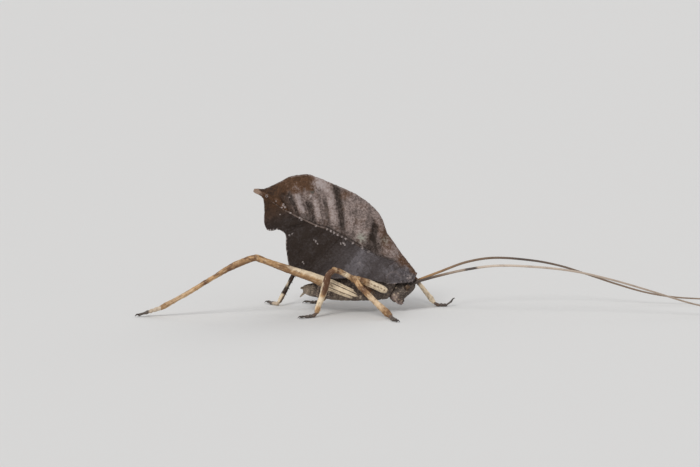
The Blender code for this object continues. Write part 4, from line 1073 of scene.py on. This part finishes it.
def make_wing(word, side, material):
    """A forewing's blade, with its UV map's height running from 0 at the lower edge to 1 at the top."""
    sizes = bpy.context.scene.katydid_sizes
    along = np.linspace(0, WING_LENGTH, 238)
    rows = np.unique(np.concatenate((np.linspace(-1, 1, 141), (-0.02, -0.01, 0.01, 0.02))))

    def place(a, b):
        return wing_surface(a, b, side)

    piece = skin(f"forewing_skin_{word}", along, rows, place, 0, 1 / WING_LENGTH)
    layer = piece.data.uv_layers.active.data
    flat = np.empty(len(layer) * 2)
    layer.foreach_get("uv", flat)
    flat[1::2] = (flat[1::2] + 1) / 2
    layer.foreach_set("uv", flat)
    mark(piece, "crumbs", crumb_strength)
    thicken(piece, sizes.wing_thickness, 0)
    hand_over(piece, "wing", material, f"forewing_{word}")


# Body


def shield_arch(i, t):
    """Points of the shield's outer surface: i steps down from the ridge and t from rear to front."""
    down = np.abs(i)
    rear_y, rear_z = (eased([(k, row[n]) for k, row in enumerate(SHIELD_REAR)], down) for n in range(2))
    front_y, front_z, front_x = (
        eased([(k, row[n]) for k, row in enumerate(SHIELD_FRONT)], down) for n in range(3))
    rear_x = eased(SHOULDER, np.minimum(rear_z, 11.1))
    swell = 0.18 * np.sin(math.pi * t) * down / SHIELD_STEPS
    sag = 0.05 * np.sin(math.pi * t) * (1 - down / SHIELD_STEPS)
    x = rear_x + (front_x - rear_x) * t
    y = rear_y + (front_y - rear_y) * t + swell
    z = rear_z + (front_z - rear_z) * t + sag
    return np.stack((x, np.where(i < 0, -y, y), z), axis=1)


def shield_surface(i, t):
    """The shield's arch with its keel, thick rims, cross furrow, knobs, dome and grain."""
    point = shield_arch(i, t)
    out = unit(point - np.stack((point[:, 0] - 1.0, np.zeros(len(i)), np.full(len(i), 6.2)), axis=1))
    down = np.abs(i)
    height = 0.1 * bump(down - 2.1, 0.4) + 0.07 * bump(i, 0.25) + 0.12 * bump(down - 5.9, 0.16)
    height += 0.08 * bump(t - 1, 0.04) - 0.08 * bump(t - 0.42, 0.05) * np.clip(2.2 - down, 0, 1)
    height -= 0.16 * step_up(-t, -0.1, 0.0)
    for x, z, radius in TUBERCLES:
        away = np.hypot(point[:, 0] - x, point[:, 2] - z)
        height += 0.75 * radius * bump(away, radius * 0.75)
    away = np.hypot(point[:, 0] - DOME[0], point[:, 2] - DOME[1])
    height += 0.16 * step_up(-away, -DOME[2] - 0.15, -DOME[2] + 0.45)
    height += 0.07 * speckle(point, 0.45) + 0.05 * speckle(point, 0.2, 3)
    return point + out * height[:, None]


def trunk_relief(a, angle):
    """Rings of the abdomen and seams of the thorax, as a share of the trunk's size."""
    up = np.sin(angle)
    swell = np.zeros(len(a))
    belly = a < RING_ENDS[0] + 0.1
    for first, last in zip(RING_ENDS, RING_ENDS[1:]):
        t = (first - a) / (first - last)
        ring = 0.02 * np.sin(math.pi * np.clip(t, 0, 1)) ** 0.6 - 0.015 * bump(t, 0.12)
        swell = swell + np.where((t >= 0) & (t < 1), ring, 0)
    swell = swell - np.where(belly, bump(up + 0.35, 0.1) * 0.07 + bump(up + 0.72, 0.08) * 0.04, 0)
    seams = sum(bump(a - x - 0.35 * up, 0.09) for x in THORAX_SEAMS)
    return swell - np.where(belly, 0, 0.05 * seams)


def ring_place(points):
    """Where points in millimetres lie along the abdomen, whose rings lean a little."""
    return points[:, 0] - RING_LEAN * (points[:, 2] - 4)


def ring_seams(points):
    """How dark the joints between the abdomen's rings are at points in millimetres."""
    return np.maximum.reduce([bump(ring_place(points) - end, 0.1) for end in RING_ENDS[:-1]]) * 0.9


def ring_fringes(points):
    """How pale the rear margins of the abdomen's rings are at points in millimetres."""
    pale = np.maximum.reduce([bump(ring_place(points) - end - 0.3, 0.22) for end in RING_ENDS])
    return pale * (0.35 + 0.65 * step_up(-points[:, 0], 5, 11))


def before_neck(points):
    """Presses a piece back behind the plane of the neck."""
    normal = unit(NECK_NORMAL)
    past = np.maximum((points - np.array(NECK_POINT)) @ normal, 0)
    return points - normal * (past * 0.92)[:, None]


def head_relief(a, angle):
    """Folds of the head as a share of its size: a is the height and the angle turns from front to side."""
    front, side = np.cos(angle), np.abs(np.sin(angle))
    fold = 0.035 * bump(front - 1, 0.25) * bump(a - 4.6, 0.8)
    fold -= 0.05 * bump(side - 0.5, 0.08) * bump(a - 3.7, 0.9) * (front > 0)
    fold -= 0.05 * bump(a - 3.0 - 0.25 * side, 0.09) * (front > 0.55)
    fold -= 0.04 * bump(a - 2.45 - 0.2 * side, 0.07) * (front > 0.6)
    fold += 0.05 * bump(side - 0.95, 0.25) * bump(a - 3.3, 0.6)
    fold += 0.03 * bump(a - 4.0, 0.12) * bump(side - 0.8, 0.3)
    return fold


def head_surface(points):
    """Adds rims round the eyes and the feelers' sockets, grain, and the flat back against the neck."""
    out = unit(points - np.array(HEAD_MIDDLE))
    height = 0.06 * speckle(points, 0.5) + 0.035 * speckle(points, 0.2, 5)
    for sign in (-1, 1):
        away = np.linalg.norm(points - np.array(EYE_CENTRE) * (1, sign, 1), axis=1)
        height += 0.16 * bump(away - 0.82, 0.14)
        away = np.linalg.norm(points - np.array(SCAPE_ROOT) * (1, sign, 1), axis=1)
        height += 0.12 * bump(away - 0.5, 0.12)
    points = points + out * height[:, None]
    normal = unit(NECK_NORMAL)
    behind = np.maximum(-((points - np.array(NECK_POINT)) @ normal) - 0.1, 0)
    return points + normal * behind[:, None]


def mirrored(point, side):
    """A point of the insect's left on its left side, 1, or its right one, -1."""
    return (point[0], point[1] * side, point[2])


# Legs


def hind_femur_relief(share, angle):
    """Three lengthwise ridges with furrows between them on either face, fading past the middle."""
    turn = (angle / (2 * math.pi)) % 0.5
    fade = step_up(share, 0.03, 0.08) * step_up(-share, -0.62, -0.3)
    deep = bump(turn - 0.07, 0.014) + bump(turn - 0.43, 0.014)
    faint = bump(turn - 0.145, 0.013) + bump(turn - 0.355, 0.013)
    deeper = 1 + 1.2 * step_up(-share, -0.25, -0.08)
    return -(0.13 * deep + 0.07 * faint) * fade * deeper + 0.03 * bump(np.abs(np.sin(angle)) - 1, 0.1)


def femur_relief(share, angle):
    """Low lengthwise ridges and a keel above and below."""
    ridges = np.cos(angle * 8 + 0.6) * step_up(-share, -0.9, -0.5)
    return 0.03 * ridges + 0.04 * bump(np.abs(np.sin(angle)) - 1, 0.1)


def tibia_relief(share, angle):
    """Four ridges, a groove along the top, and slow knots."""
    knots = 0.04 * np.sin(share * 31) * np.sin(share * 13 + 1)
    return 0.04 * np.cos(4 * angle) + knots - 0.05 * bump(np.sin(angle) - 1, 0.08) * bump(share - 0.5, 0.4)


def make_leg(name, plan, material):
    """A leg from its hip to its ankle, with its knee lobes and thorns."""
    sizes = bpy.context.scene.katydid_sizes
    kind = name.split("_")[0]
    slim = plan.get("slim", 1.0)
    root, hip, knee, ankle = (np.array(plan[key], float) for key in ("root", "hip", "knee", "ankle"))
    bend = TIBIA_BEND.get(name, TIBIA_BEND[kind])
    detail = 84 if kind == "hind" else 48
    parts = [
        limb("coxa", root, hip - 0.3 * unit(hip - root), COXA_SIZE, part=-1.2),
        limb("femur", hip, knee, FEMUR_SIZE[kind], FEMUR_BEND[kind], 0.0,
             hind_femur_relief if kind == "hind" else femur_relief, detail, slim=slim),
        limb("tibia", knee, ankle, TIBIA_SIZE[kind], bend, 1.0, tibia_relief, slim=slim),
    ]
    across = unit(np.cross(knee - hip, (0, 0, 1)))
    for sign in (-1, 1):
        middle = knee + across * sign * 0.22 * slim - 0.1 * unit(ankle - knee)
        parts.append(lump("knee_lobe", middle, np.array(KNEE_LOBE) * slim, (0.995, 0.3)))
    parts.append(lump("trochanter", hip + 0.15 * unit(knee - hip), HIP_LUMP, (-0.2, 0.5)))
    limbs = join("leg_" + name, parts)
    roughen(limbs, 0.6, sizes.bark_depth)
    leg = join("leg_" + name, [limbs, *tibia_spines(knee, ankle, kind, bend, slim)])
    hand_over(leg, "leg", material, f"coxa_{name}", f"femur_{name}", f"tibia_{name}")


def tibia_spines(start, end, kind, bend, slim):
    """Two rows of small thorns along the underside of a tibia."""
    axis = unit(end - start)
    side = unit(np.cross(axis, (0, 0, 1)))
    lift = np.cross(side, axis)
    rows = SPINE_ROWS[kind]
    spines = []
    for i in range(rows):
        share = 0.3 + 0.62 * i / (rows - 1)
        half_side, half_lift, rise = (float(eased(table, share)) for table in (
            column(TIBIA_SIZE[kind], 1), column(TIBIA_SIZE[kind], 2), bend))
        for sign in (-1, 1):
            middle = start + axis * share * np.linalg.norm(end - start) + lift * rise
            out = unit(side * sign * 0.6 - lift * 0.65 + axis * 0.7)
            root = middle + (side * sign * 0.55 * half_side - lift * 0.6 * half_lift) * slim
            tip = root + out * (SPINE_LENGTH + 0.1 * (i % 2))
            spines.append(spike("spine", root, tip, SPINE_RADIUS, (1 + share, 0.4)))
    return spines


def pad_cleft(a, angle):
    """Splits the third pad of a foot down its middle."""
    return -0.25 * bump(a - 3.0, 0.16) * bump(np.cos(angle), 0.25)


def above_floor(points):
    """Presses a piece flat where it would sink into the floor."""
    return np.maximum(points, (-np.inf, -np.inf, 0.0))


def foot_sole(ankle, size, lift, drop, ahead, across):
    """The row of pads from the ankle to the claws' root."""
    heel = [(-0.32, ankle[2] + 0.12, 0.05, 0.05), (-0.22, ankle[2] + 0.08, 0.26 * size, 0.26 * size)]
    pads = [(p * size, ankle[2] if p == 0 else h * size, w * size, t * size) for p, h, w, t in FOOT]
    table = [*heel, *pads, (4.62 * size, 0.4 * size, 0.05, 0.05)]
    along = np.linspace(table[0][0], table[-1][0], 70)
    height = eased(column(table, 1), along)
    if drop:
        height = np.maximum(height, ankle[2] * np.clip(1 - along / drop, 0, 1.1))
    height = height + lift * np.clip((along / size - 3.1) / 2.1, 0, 1) ** 1.3
    wide, tall = eased(column(table, 2), along), eased(column(table, 3), along)
    wide[[0, -1]] = tall[[0, -1]] = 0
    centre = ankle * (1, 1, 0) + np.outer(along, ahead) + np.outer(height, (0, 0, 1))
    scale = 1 / (FOOT_END * size)
    return sweep("sole", along, centre, across, (0, 0, 1), wide, tall, 28, 0, scale, pad_cleft, 2.2)


def make_foot(name, plan, material):
    """Four pads and two claws, flat on the floor underneath."""
    ankle = np.array(plan["ankle"], float)
    size, lift = plan["foot"], plan.get("claw_lift", 0.0)
    angle = math.radians(plan["heading"])
    ahead = np.array((math.cos(angle), math.sin(angle), 0))
    across = np.array((-math.sin(angle), math.cos(angle), 0))
    sole = foot_sole(ankle, size, lift, plan.get("drop", 0.0), ahead, across)
    roughen(sole, 0.4, 0.00005)
    pieces = [sole]
    for sign in (-1, 1):
        root, tip = (ankle * (1, 1, 0) + (ahead * forth + across * aside * sign + (0, 0, high)) * size
                     + (0, 0, raised * lift)
                     for (forth, aside, high), raised in ((CLAW_ROOT, 0.5), (CLAW_TIP, 1.2)))
        route = (root, (root + tip) / 2 + (0, 0, 0.2), tip)
        pieces.append(tube("claw", route, taper((0, 0.16), (0.5, 0.11), (1.0, 0.03)), 10, 0.06, 0.9))
    foot = join("foot_" + name, pieces)
    reshape(foot, above_floor)
    hand_over(foot, "foot", material, f"tarsus_{name}")


# Operators


def place_object(name, data, middle, way):
    """A lamp or a camera that looks at the middle from a way off."""
    holder = bpy.data.objects.new(name, data)
    bpy.context.scene.collection.objects.link(holder)
    holder.location = middle + way
    holder.rotation_euler = (-way).to_track_quat("-Z", "Y").to_euler()
    return holder


class KATYDID_OT_stage(bpy.types.Operator):
    """Lays the pale floor and sets the studio lights and the camera"""

    bl_idname = "katydid.stage"
    bl_label = "Floor, lights and camera"

    def execute(self, context):
        scene = context.scene
        deselect_all()
        bpy.ops.mesh.primitive_plane_add(size=scene.katydid_sizes.floor_size, location=(0, 0, 0))
        floor = context.object
        floor.name = "studio_floor"
        tone = hues().floor
        made = Finish("studio_paper", tone)
        made.coat(made.grain(900, 2.0) * 0.3, blended(tone, (1, 1, 1), 0.15))
        floor.data.materials.append(made.done(0.9))
        world = bpy.data.worlds.new("studio")
        world.use_nodes = True
        sky = world.node_tree.nodes["Background"]
        sky.inputs["Color"].default_value = (0.96, 0.97, 1.0, 1.0)
        sky.inputs["Strength"].default_value = 0.5
        scene.world = world
        middle = Vector(ORIGIN) + Vector(VIEW_MIDDLE) * MM
        for name, way, strength, spread in SUNS:
            lamp = bpy.data.lights.new(name, "SUN")
            lamp.energy = strength
            lamp.angle = math.radians(spread)
            place_object(name, lamp, middle, Vector(way))
        camera = bpy.data.cameras.new("camera")
        camera.sensor_width = SENSOR_WIDTH
        camera.lens = SENSOR_WIDTH * VIEW_DISTANCE / VIEW_WIDTH
        camera.clip_end = 50
        way = Vector((0, -math.cos(VIEW_TILT), math.sin(VIEW_TILT))) * VIEW_DISTANCE * MM
        scene.camera = place_object("camera", camera, middle, way)
        scene.view_settings.view_transform = "Standard"
        return {"FINISHED"}


class KATYDID_OT_forewings(bpy.types.Operator):
    """Makes the two pleated, veined forewings"""

    bl_idname = "katydid.forewings"
    bl_label = "Forewings"

    def execute(self, context):
        material = wing_finish()
        for word, side in SIDES:
            make_wing(word, side, material)
        return {"FINISHED"}


def fan_folds(a, angle):
    """Fine lengthwise folds on both faces of the hind wings, none at their edges."""
    return 0.25 * np.cos(np.arcsin(np.clip(np.sin(angle), -1, 1)) * 18) * np.abs(np.cos(angle))


class KATYDID_OT_hindwings(bpy.types.Operator):
    """Makes the folded hind wings between the forewings"""

    bl_idname = "katydid.hindwings"
    bl_label = "Hind wings"

    def execute(self, context):
        table = [(k, *row) for k, row in enumerate(HINDWING)]
        steps = len(HINDWING) - 1
        along = np.linspace(0, steps, 70)
        x0, z0, x1, z1 = (eased(column(table, k), along) for k in (1, 2, 3, 4))
        low, high = np.stack((x0, 0 * x0, z0), axis=1), np.stack((x1, 0 * x1, z1), axis=1)
        tall = np.linalg.norm(high - low, axis=1) / 2
        tall[[0, -1]] = 0
        wide = np.where(tall > 0, 0.3, 0)
        piece = sweep("hindwing_fan", along, (low + high) / 2, (0, 1, 0), unit(high - low), wide, tall, 96,
                      0, 1 / steps, fan_folds, 2.6)
        hue = hues()
        made = Finish("hindwing_film", blended(hue.ridge, hue.rust, 0.3))
        lines = made.window(abs((made.v * 44).maths("FRACT") - 0.5), 0.3, 0.45)
        made.coat(lines * 0.6, hue.valley)
        made.coat(made.grain(0.8) * 0.5, hue.valley)
        hand_over(piece, "wing", made.done(0.45, lines, 0.06), "hindwings")
        return {"FINISHED"}


class KATYDID_OT_shield(bpy.types.Operator):
    """Makes the saddle-shaped shield over the thorax"""

    bl_idname = "katydid.shield"
    bl_label = "Shield"

    def execute(self, context):
        down, forth = np.linspace(-SHIELD_STEPS, SHIELD_STEPS, 190), np.linspace(0, 1, 100)
        piece = skin("shield_plate", down, forth, shield_surface, 0.5, 1 / (2 * SHIELD_STEPS))
        under = Vector(ORIGIN) + Vector((5.5, 0, 6.0)) * MM
        outward = sum(face.normal.dot(face.center - under) for face in piece.data.polygons) > 0
        thicken(piece, 0.4 * MM, -1 if outward else 1)
        hand_over(piece, "shield", shield_finish(), "pronotum")
        return {"FINISHED"}


class KATYDID_OT_trunk(bpy.types.Operator):
    """Makes the thorax and the ringed abdomen as one body"""

    bl_idname = "katydid.trunk"
    bl_label = "Trunk"

    def execute(self, context):
        hue = hues()
        along = np.linspace(TRUNK[0][0], TRUNK[-1][0], 240)
        low, high, wide = (eased(column(TRUNK, k), along) for k in (1, 2, 3))
        tall = (high - low) / 2
        wide[[0, -1]] = tall[[0, -1]] = 0
        centre = np.stack((along, 0 * along, (low + high) / 2), axis=1)
        piece = sweep("trunk_skin", along, centre, (0, 1, 0), (0, 0, 1), wide, tall, 90,
                      0, 0.1, trunk_relief, 2.2)
        reshape(piece, before_neck)
        roughen(piece, 0.8, 0.00022)
        mark(piece, "seams", ring_seams)
        mark(piece, "fringes", ring_fringes)
        pale, shaded = blended(hue.hide, hue.chalk, 0.3), blended(hue.hide, hue.soot, 0.6)
        patches = ((-12.5, 4.5, 2.2, pale, 0.8), (-6.0, 2.6, 2.5, pale, 0.4), (1.0, 6.0, 4.5, shaded, 0.85))
        material = hide_finish("speckled_hide", blended(hue.hide, hue.rose, 0.15), patches, True)
        hand_over(piece, "body", material, "thorax", "abdomen")
        return {"FINISHED"}


class KATYDID_OT_tail(bpy.types.Operator):
    """Makes the plate under the abdomen's tip and the two cerci"""

    bl_idname = "katydid.tail"
    bl_label = "Plate and cerci"

    def execute(self, context):
        hue = hues()
        material = hide_finish("pale_hide", blended(hue.hide, hue.chalk, 0.4))
        plate_size = taper((0, 0.35), (0.4, 0.55), (1.3, 0.36), (2.1, 0.1))
        plate = tube("tail_plate", TAIL_PLATE, plate_size, 20, 0.06, flat=0.6)
        roughen(plate, 0.4, 0.00016)
        hand_over(plate, "body", material, "subgenital_plate")
        cercus_size = taper((0, 0.24), (0.4, 0.28), (0.9, 0.2), (1.4, 0.06))
        for word, side in SIDES:
            route = [mirrored(point, side) for point in CERCUS]
            cercus = tube(f"cercus_skin_{word}", route, cercus_size, 16, 0.06)
            roughen(cercus, 0.3, 0.00014)
            hand_over(cercus, "body", material, f"cercus_{word}")
        return {"FINISHED"}


def make_skull():
    """The head's capsule with its brow and mouth in one skin."""
    mouth, middle, crown = (np.linspace(low, high, rows) for low, high, rows in (
        (HEAD[0][0], 2.2, 16), (2.2, 5.7, 74), (5.7, HEAD[-1][0], 14)))
    along = np.concatenate((mouth[:-1], middle[:-1], crown))
    back, front, wide = (eased(column(HEAD, k), along) for k in (1, 2, 3))
    deep = (front - back) / 2
    wide[[0, -1]] = deep[[0, -1]] = 0
    centre = np.stack(((front + back) / 2, 0 * along, along), axis=1)
    skull = sweep("skull", along, centre, (1, 0, 0), (0, 1, 0), deep, wide, 120, 0, 0.1, head_relief, 2.15)
    reshape(skull, head_surface)
    brow = tube("brow", BROW, taper((0, 0.3), (0.5, 0.4), (1.4, 0.26), (1.85, 0.1)), 16, 0.08)
    lumps = [lump(name, mirrored(spot, side), half) for name, spot, half in MOUTH
             for side in ((-1, 1) if spot[1] else (1,))]
    head = join("head_skin", [skull, brow, *lumps])
    roughen(head, 0.45, 0.00012)
    return head


def make_palps(word, side):
    """The long outer palp and the short inner one of a side, knotted at their joints."""
    def knotted(route, size, knot, pace, sides):
        def radius(distance):
            return size + knot * np.abs(np.sin(distance * pace))

        return tube("palp", [mirrored(point, side) for point in route], radius, sides, 0.06)

    outer, inner = knotted(PALP_OUTER, 0.17, 0.05, 2.6, 16), knotted(PALP_INNER, 0.13, 0.04, 3.0, 14)
    palps = join(f"palps_{word}", [outer, inner])
    roughen(palps, 0.3, 0.00008)
    return palps


class KATYDID_OT_head(bpy.types.Operator):
    """Makes the head with its jaws, lip and palps, and the eyes"""

    bl_idname = "katydid.head"
    bl_label = "Head and eyes"

    def execute(self, context):
        hue = hues()
        freckle = blended(hue.rose, hue.chalk, 0.5)
        patches = [
            (4.9, 3.0, 1.5, hue.rose, 0.85), (6.0, 2.1, 0.9, hue.rose, 0.6), (5.2, 4.9, 0.3, freckle, 0.9),
            # The patch at length 7.6 and height 5.7, dark above the eye under the shield's front rim, is
            # painted shade.
            (4.6, 5.2, 0.35, hue.soot, 0.7), (7.6, 5.7, 1.2, blended(hue.hide, hue.soot, 0.6), 0.7)]
        patches += [(x, z, radius, freckle, 0.9) for x, z, radius in JAW_FRECKLES]
        skin_of_head = hide_finish("speckled_head", blended(hue.hide, hue.soot, 0.12), patches)
        hand_over(make_skull(), "head", skin_of_head, "head")
        pink = hide_finish("rosy_palps", blended(hue.rose, hue.hide, 0.3))
        for word, side in SIDES:
            eye = lump(f"eye_ball_{word}", mirrored(EYE_CENTRE, side), EYE_HALF, detail=56)
            hand_over(eye, "eye", eye_finish(), f"eye_{word}")
            hand_over(make_palps(word, side), "leg", pink, f"palp_{word}")
        return {"FINISHED"}


def feeler_hues():
    """Hues along each feeler: the right one banded and pale further out, the left one tan at its root."""
    hue = hues()
    tan, grey = blended(hue.straw, hue.bark, 0.35), blended(hue.hide, hue.soot, 0.4)
    dull, pale = blended(hue.hide, hue.straw, 0.2), blended(hue.chalk, hue.crumb, 0.6)
    return {
        "right": [
            (0.0, grey), (0.04, grey), (0.075, dull), (0.11, blended(dull, pale, 0.4)),
            (0.15, blended(dull, pale, 0.4)), (0.158, grey), (0.188, grey),
            (0.196, blended(dull, pale, 0.75)), (0.24, pale), (0.5, blended(pale, dull, 0.35)),
            (1.0, blended(pale, dull, 0.7))],
        "left": [
            (0.0, tan), (0.06, tan), (0.13, blended(tan, dull, 0.8)), (0.3, blended(dull, grey, 0.3)),
            (0.36, grey), (0.46, blended(grey, dull, 0.5)), (0.7, dull), (1.0, blended(dull, pale, 0.2))],
    }


def make_feeler(word, side, total, ring):
    """A feeler's root joint, its knuckle and its long ringed lash."""
    def lash_radius(distance):
        return (0.27 - 0.12 * distance / total) * (0.97 + 0.05 * np.abs(np.sin(math.pi * distance / ring)))

    lash = tube("lash", FEELER_ROUTES[word], lash_radius, 12, 0.1)
    root, end = np.array(mirrored(SCAPE_ROOT, side)), np.array(mirrored(SCAPE_END, side))
    scape_route = (root - (end - root) * 0.25, root, (root + end) / 2, root * 0.3 + end * 0.7)
    scape_size = taper((0, 0.3), (0.3, 0.38), (0.9, 0.38), (1.35, 0.28))
    scape = tube("scape", scape_route, scape_size, 20, 0.06, -0.9)
    knuckle_route = (root * 0.45 + end * 0.55, root * 0.2 + end * 0.8, end)
    knuckle_size = taper((0, 0.2), (0.15, 0.31), (0.4, 0.32), (0.66, 0.26))
    knuckle = tube("knuckle", knuckle_route, knuckle_size, 16, 0.05, -0.9)
    return join(f"feeler_{word}", [lash, scape, knuckle])


class KATYDID_OT_feelers(bpy.types.Operator):
    """Makes the two ringed feelers with their thick root joints"""

    bl_idname = "katydid.feelers"
    bl_label = "Feelers"

    def execute(self, context):
        stops = feeler_hues()
        ring = context.scene.katydid_sizes.feeler_ring / MM
        for word, side in SIDES:
            total = smooth_route(FEELER_ROUTES[word], 1.0)[1][-1]
            material = feeler_finish(f"ringed_feeler_{word}", stops[word], total / ring)
            nodes = [f"antenna_{word}_{part}" for part in ("base", 1, 2, 3)]
            hand_over(make_feeler(word, side, total, ring), "feeler", material, *nodes)
        return {"FINISHED"}


def leg_recipes():
    """Hues, blotches, bands and dots of the legs."""
    hue = hues()
    straw, chalk, bark, soot = hue.straw, hue.chalk, hue.bark, hue.soot
    # dark serves only as painted shade on the far legs' tibias.
    tan, dark, grey = blended(straw, bark, 0.35), blended(bark, soot, 0.4), blended(hue.hide, soot, 0.3)
    # The dark lines along the hind femur's deep and faint furrows are painted shade in them.
    groove = blended(bark, soot, 0.6)
    grooves = [(middle, 0.018, 0.02, 0.4, groove, 0.95) for middle in (0.07, 0.43, 0.57, 0.93)]
    lines = [(middle, 0.012, 0.05, 0.4, groove, 0.5) for middle in (0.355, 0.645, 0.145, 0.855)]
    return {
        "fore": {
            "stops": [
                (-1, grey), (-0.16, grey), (-0.13, chalk), (0.5, chalk), (0.68, tan), (0.86, bark),
                (0.96, straw), (1.17, straw), (1.28, bark), (1.38, blended(straw, bark, 0.2)),
                (1.5, blended(straw, chalk, 0.55)), (1.75, blended(straw, chalk, 0.4)), (1.88, tan),
                (2.0, tan)],
            "blotch": [(-1, 0.2), (0, 0.0), (1, 0.6), (1.4, 0.4), (1.8, 0.3), (2, 0.6)],
            "dots": 0.7,
        },
        "mid": {
            "stops": [
                (-1, grey), (-0.1, grey), (0.1, bark), (0.4, bark), (0.6, straw), (0.72, chalk), (0.84, tan),
                (0.92, bark), (1.0, tan), (1.08, bark), (1.5, bark), (1.62, straw), (1.68, chalk),
                (1.82, chalk), (1.9, straw), (2.0, tan)],
            "blotch": [(-1, 0.3), (0.5, 0.4), (1.0, 0.6), (1.6, 0.2), (2, 0.1)],
            "bands": [
                (0.28, 0.1, 1.3, 2.0, chalk, 0.7), (0.72, 0.1, 1.25, 2.0, chalk, 0.6),
                (0.5, 0.1, 1.1, 1.64, bark, 0.8)],
        },
        "hind": {
            "stops": [
                (-1, grey), (0.0, grey), (0.085, grey), (0.105, chalk), (0.3, chalk), (0.42, straw),
                (0.72, tan), (0.95, straw), (1.02, straw), (1.12, tan), (1.3, tan), (1.42, straw),
                (1.47, straw), (1.52, bark), (1.57, straw), (1.8, blended(straw, chalk, 0.3)), (2.0, tan)],
            "blotch": [(-1, 0.2), (0.4, 0.1), (0.7, 0.5), (1.0, 0.7), (1.5, 0.8), (1.6, 0.3), (2, 0.2)],
            "bands": [
                *grooves, *lines, (0.65, 0.2, 1.02, 1.42, bark, 0.45), (0.66, 0.14, 0.3, 0.95, bark, 0.4),
                # The chalk band round 0.35 on the femur, from 0.28 to 0.74, is a painted highlight along its
                # upper side.
                (0.35, 0.16, 0.28, 0.74, chalk, 0.9), (0.68, 0.09, 1.39, 1.49, chalk, 0.8),
                (0.7, 0.1, 0.94, 1.04, chalk, 0.8), (0.5, 0.07, 0.02, 0.2, chalk, 1.0),
                (0.38, 0.04, 0.035, 0.2, chalk, 0.9)],
        },
        # The far hind tibia's black stretch from 1.66 to 1.93 and the dark band near its ankle are painted
        # shadow.
        "far_hind": {
            "stops": [
                (-1, grey), (0.0, tan), (0.5, straw), (1.0, tan), (1.3, tan), (1.62, tan), (1.66, soot),
                (1.93, soot), (1.945, chalk), (2.0, chalk)],
            "blotch": [(-1, 0.2), (0.7, 0.5), (1.6, 0.5), (2, 0.0)],
            "bands": [(0.26, 0.1, 1.79, 1.88, chalk, 0.9), (0.54, 0.14, 1.9, 2.1, dark, 0.9)],
        },
        # The far fore tibia's dark upper part, from 1.0 to 1.5, is painted shade.
        "far_fore": {
            "stops": [
                (-1, grey), (-0.15, grey), (-0.12, chalk), (0.6, tan), (1.0, dark), (1.5, dark),
                (1.56, chalk), (2.0, chalk)],
            "blotch": [(-1, 0.2), (0, 0.0), (1, 0.6), (1.5, 0.3), (2, 0.1)],
            "dots": 0.5,
        },
    }


class KATYDID_OT_legs(bpy.types.Operator):
    """Makes the six barked legs, each from its hip to its ankle"""

    bl_idname = "katydid.legs"
    bl_label = "Legs"

    def execute(self, context):
        recipes = leg_recipes()
        for name, plan in LEGS.items():
            kind = {"hind_left": "far_hind", "fore_left": "far_fore"}.get(name, name.split("_")[0])
            make_leg(name, plan, leg_finish("leg_skin_" + name, **recipes[kind]))
        return {"FINISHED"}


class KATYDID_OT_feet(bpy.types.Operator):
    """Makes the six feet with their pads and claws"""

    bl_idname = "katydid.feet"
    bl_label = "Feet"

    def execute(self, context):
        hue = hues()
        grey = blended(hue.hide, hue.soot, 0.25)
        dusky = foot_finish("dusky_foot", blended(hue.bark, hue.hide, 0.5), grey, 0.25)
        tan = foot_finish("tan_foot", blended(hue.chalk, hue.rose, 0.4), grey, 0.48)
        for name, plan in LEGS.items():
            make_foot(name, plan, tan if name.startswith("hind") else dusky)
        return {"FINISHED"}


class KATYDID_PT_panel(bpy.types.Panel):
    """Lists the steps, the sizes and the colours in the sidebar"""

    bl_label = "Katydid"
    bl_idname = "KATYDID_PT_panel"
    bl_space_type = "VIEW_3D"
    bl_region_type = "UI"
    bl_category = "Katydid"

    def draw(self, context):
        layout = self.layout
        for step in STEPS:
            layout.operator(step.bl_idname)
        for group in (context.scene.katydid_sizes, context.scene.katydid_colours):
            for key in group.__annotations__:
                layout.prop(group, key)


STEPS = (
    KATYDID_OT_stage, KATYDID_OT_forewings, KATYDID_OT_hindwings, KATYDID_OT_shield, KATYDID_OT_trunk,
    KATYDID_OT_tail, KATYDID_OT_head, KATYDID_OT_feelers, KATYDID_OT_legs, KATYDID_OT_feet,
)
CLASSES = (KatydidSizes, KatydidColours, *STEPS, KATYDID_PT_panel)


def register():
    """Adds the classes, the sizes and the colours to Blender."""
    for cls in CLASSES:
        bpy.utils.register_class(cls)
    bpy.types.Scene.katydid_sizes = bpy.props.PointerProperty(type=KatydidSizes)
    bpy.types.Scene.katydid_colours = bpy.props.PointerProperty(type=KatydidColours)


def unregister():
    """Takes them out again."""
    del bpy.types.Scene.katydid_sizes
    del bpy.types.Scene.katydid_colours
    for cls in reversed(CLASSES):
        bpy.utils.unregister_class(cls)


def main():
    """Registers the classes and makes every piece."""
    register()
    for step in STEPS:
        getattr(bpy.ops.katydid, step.bl_idname.split(".")[1])()


if __name__ == "__main__":
    main()
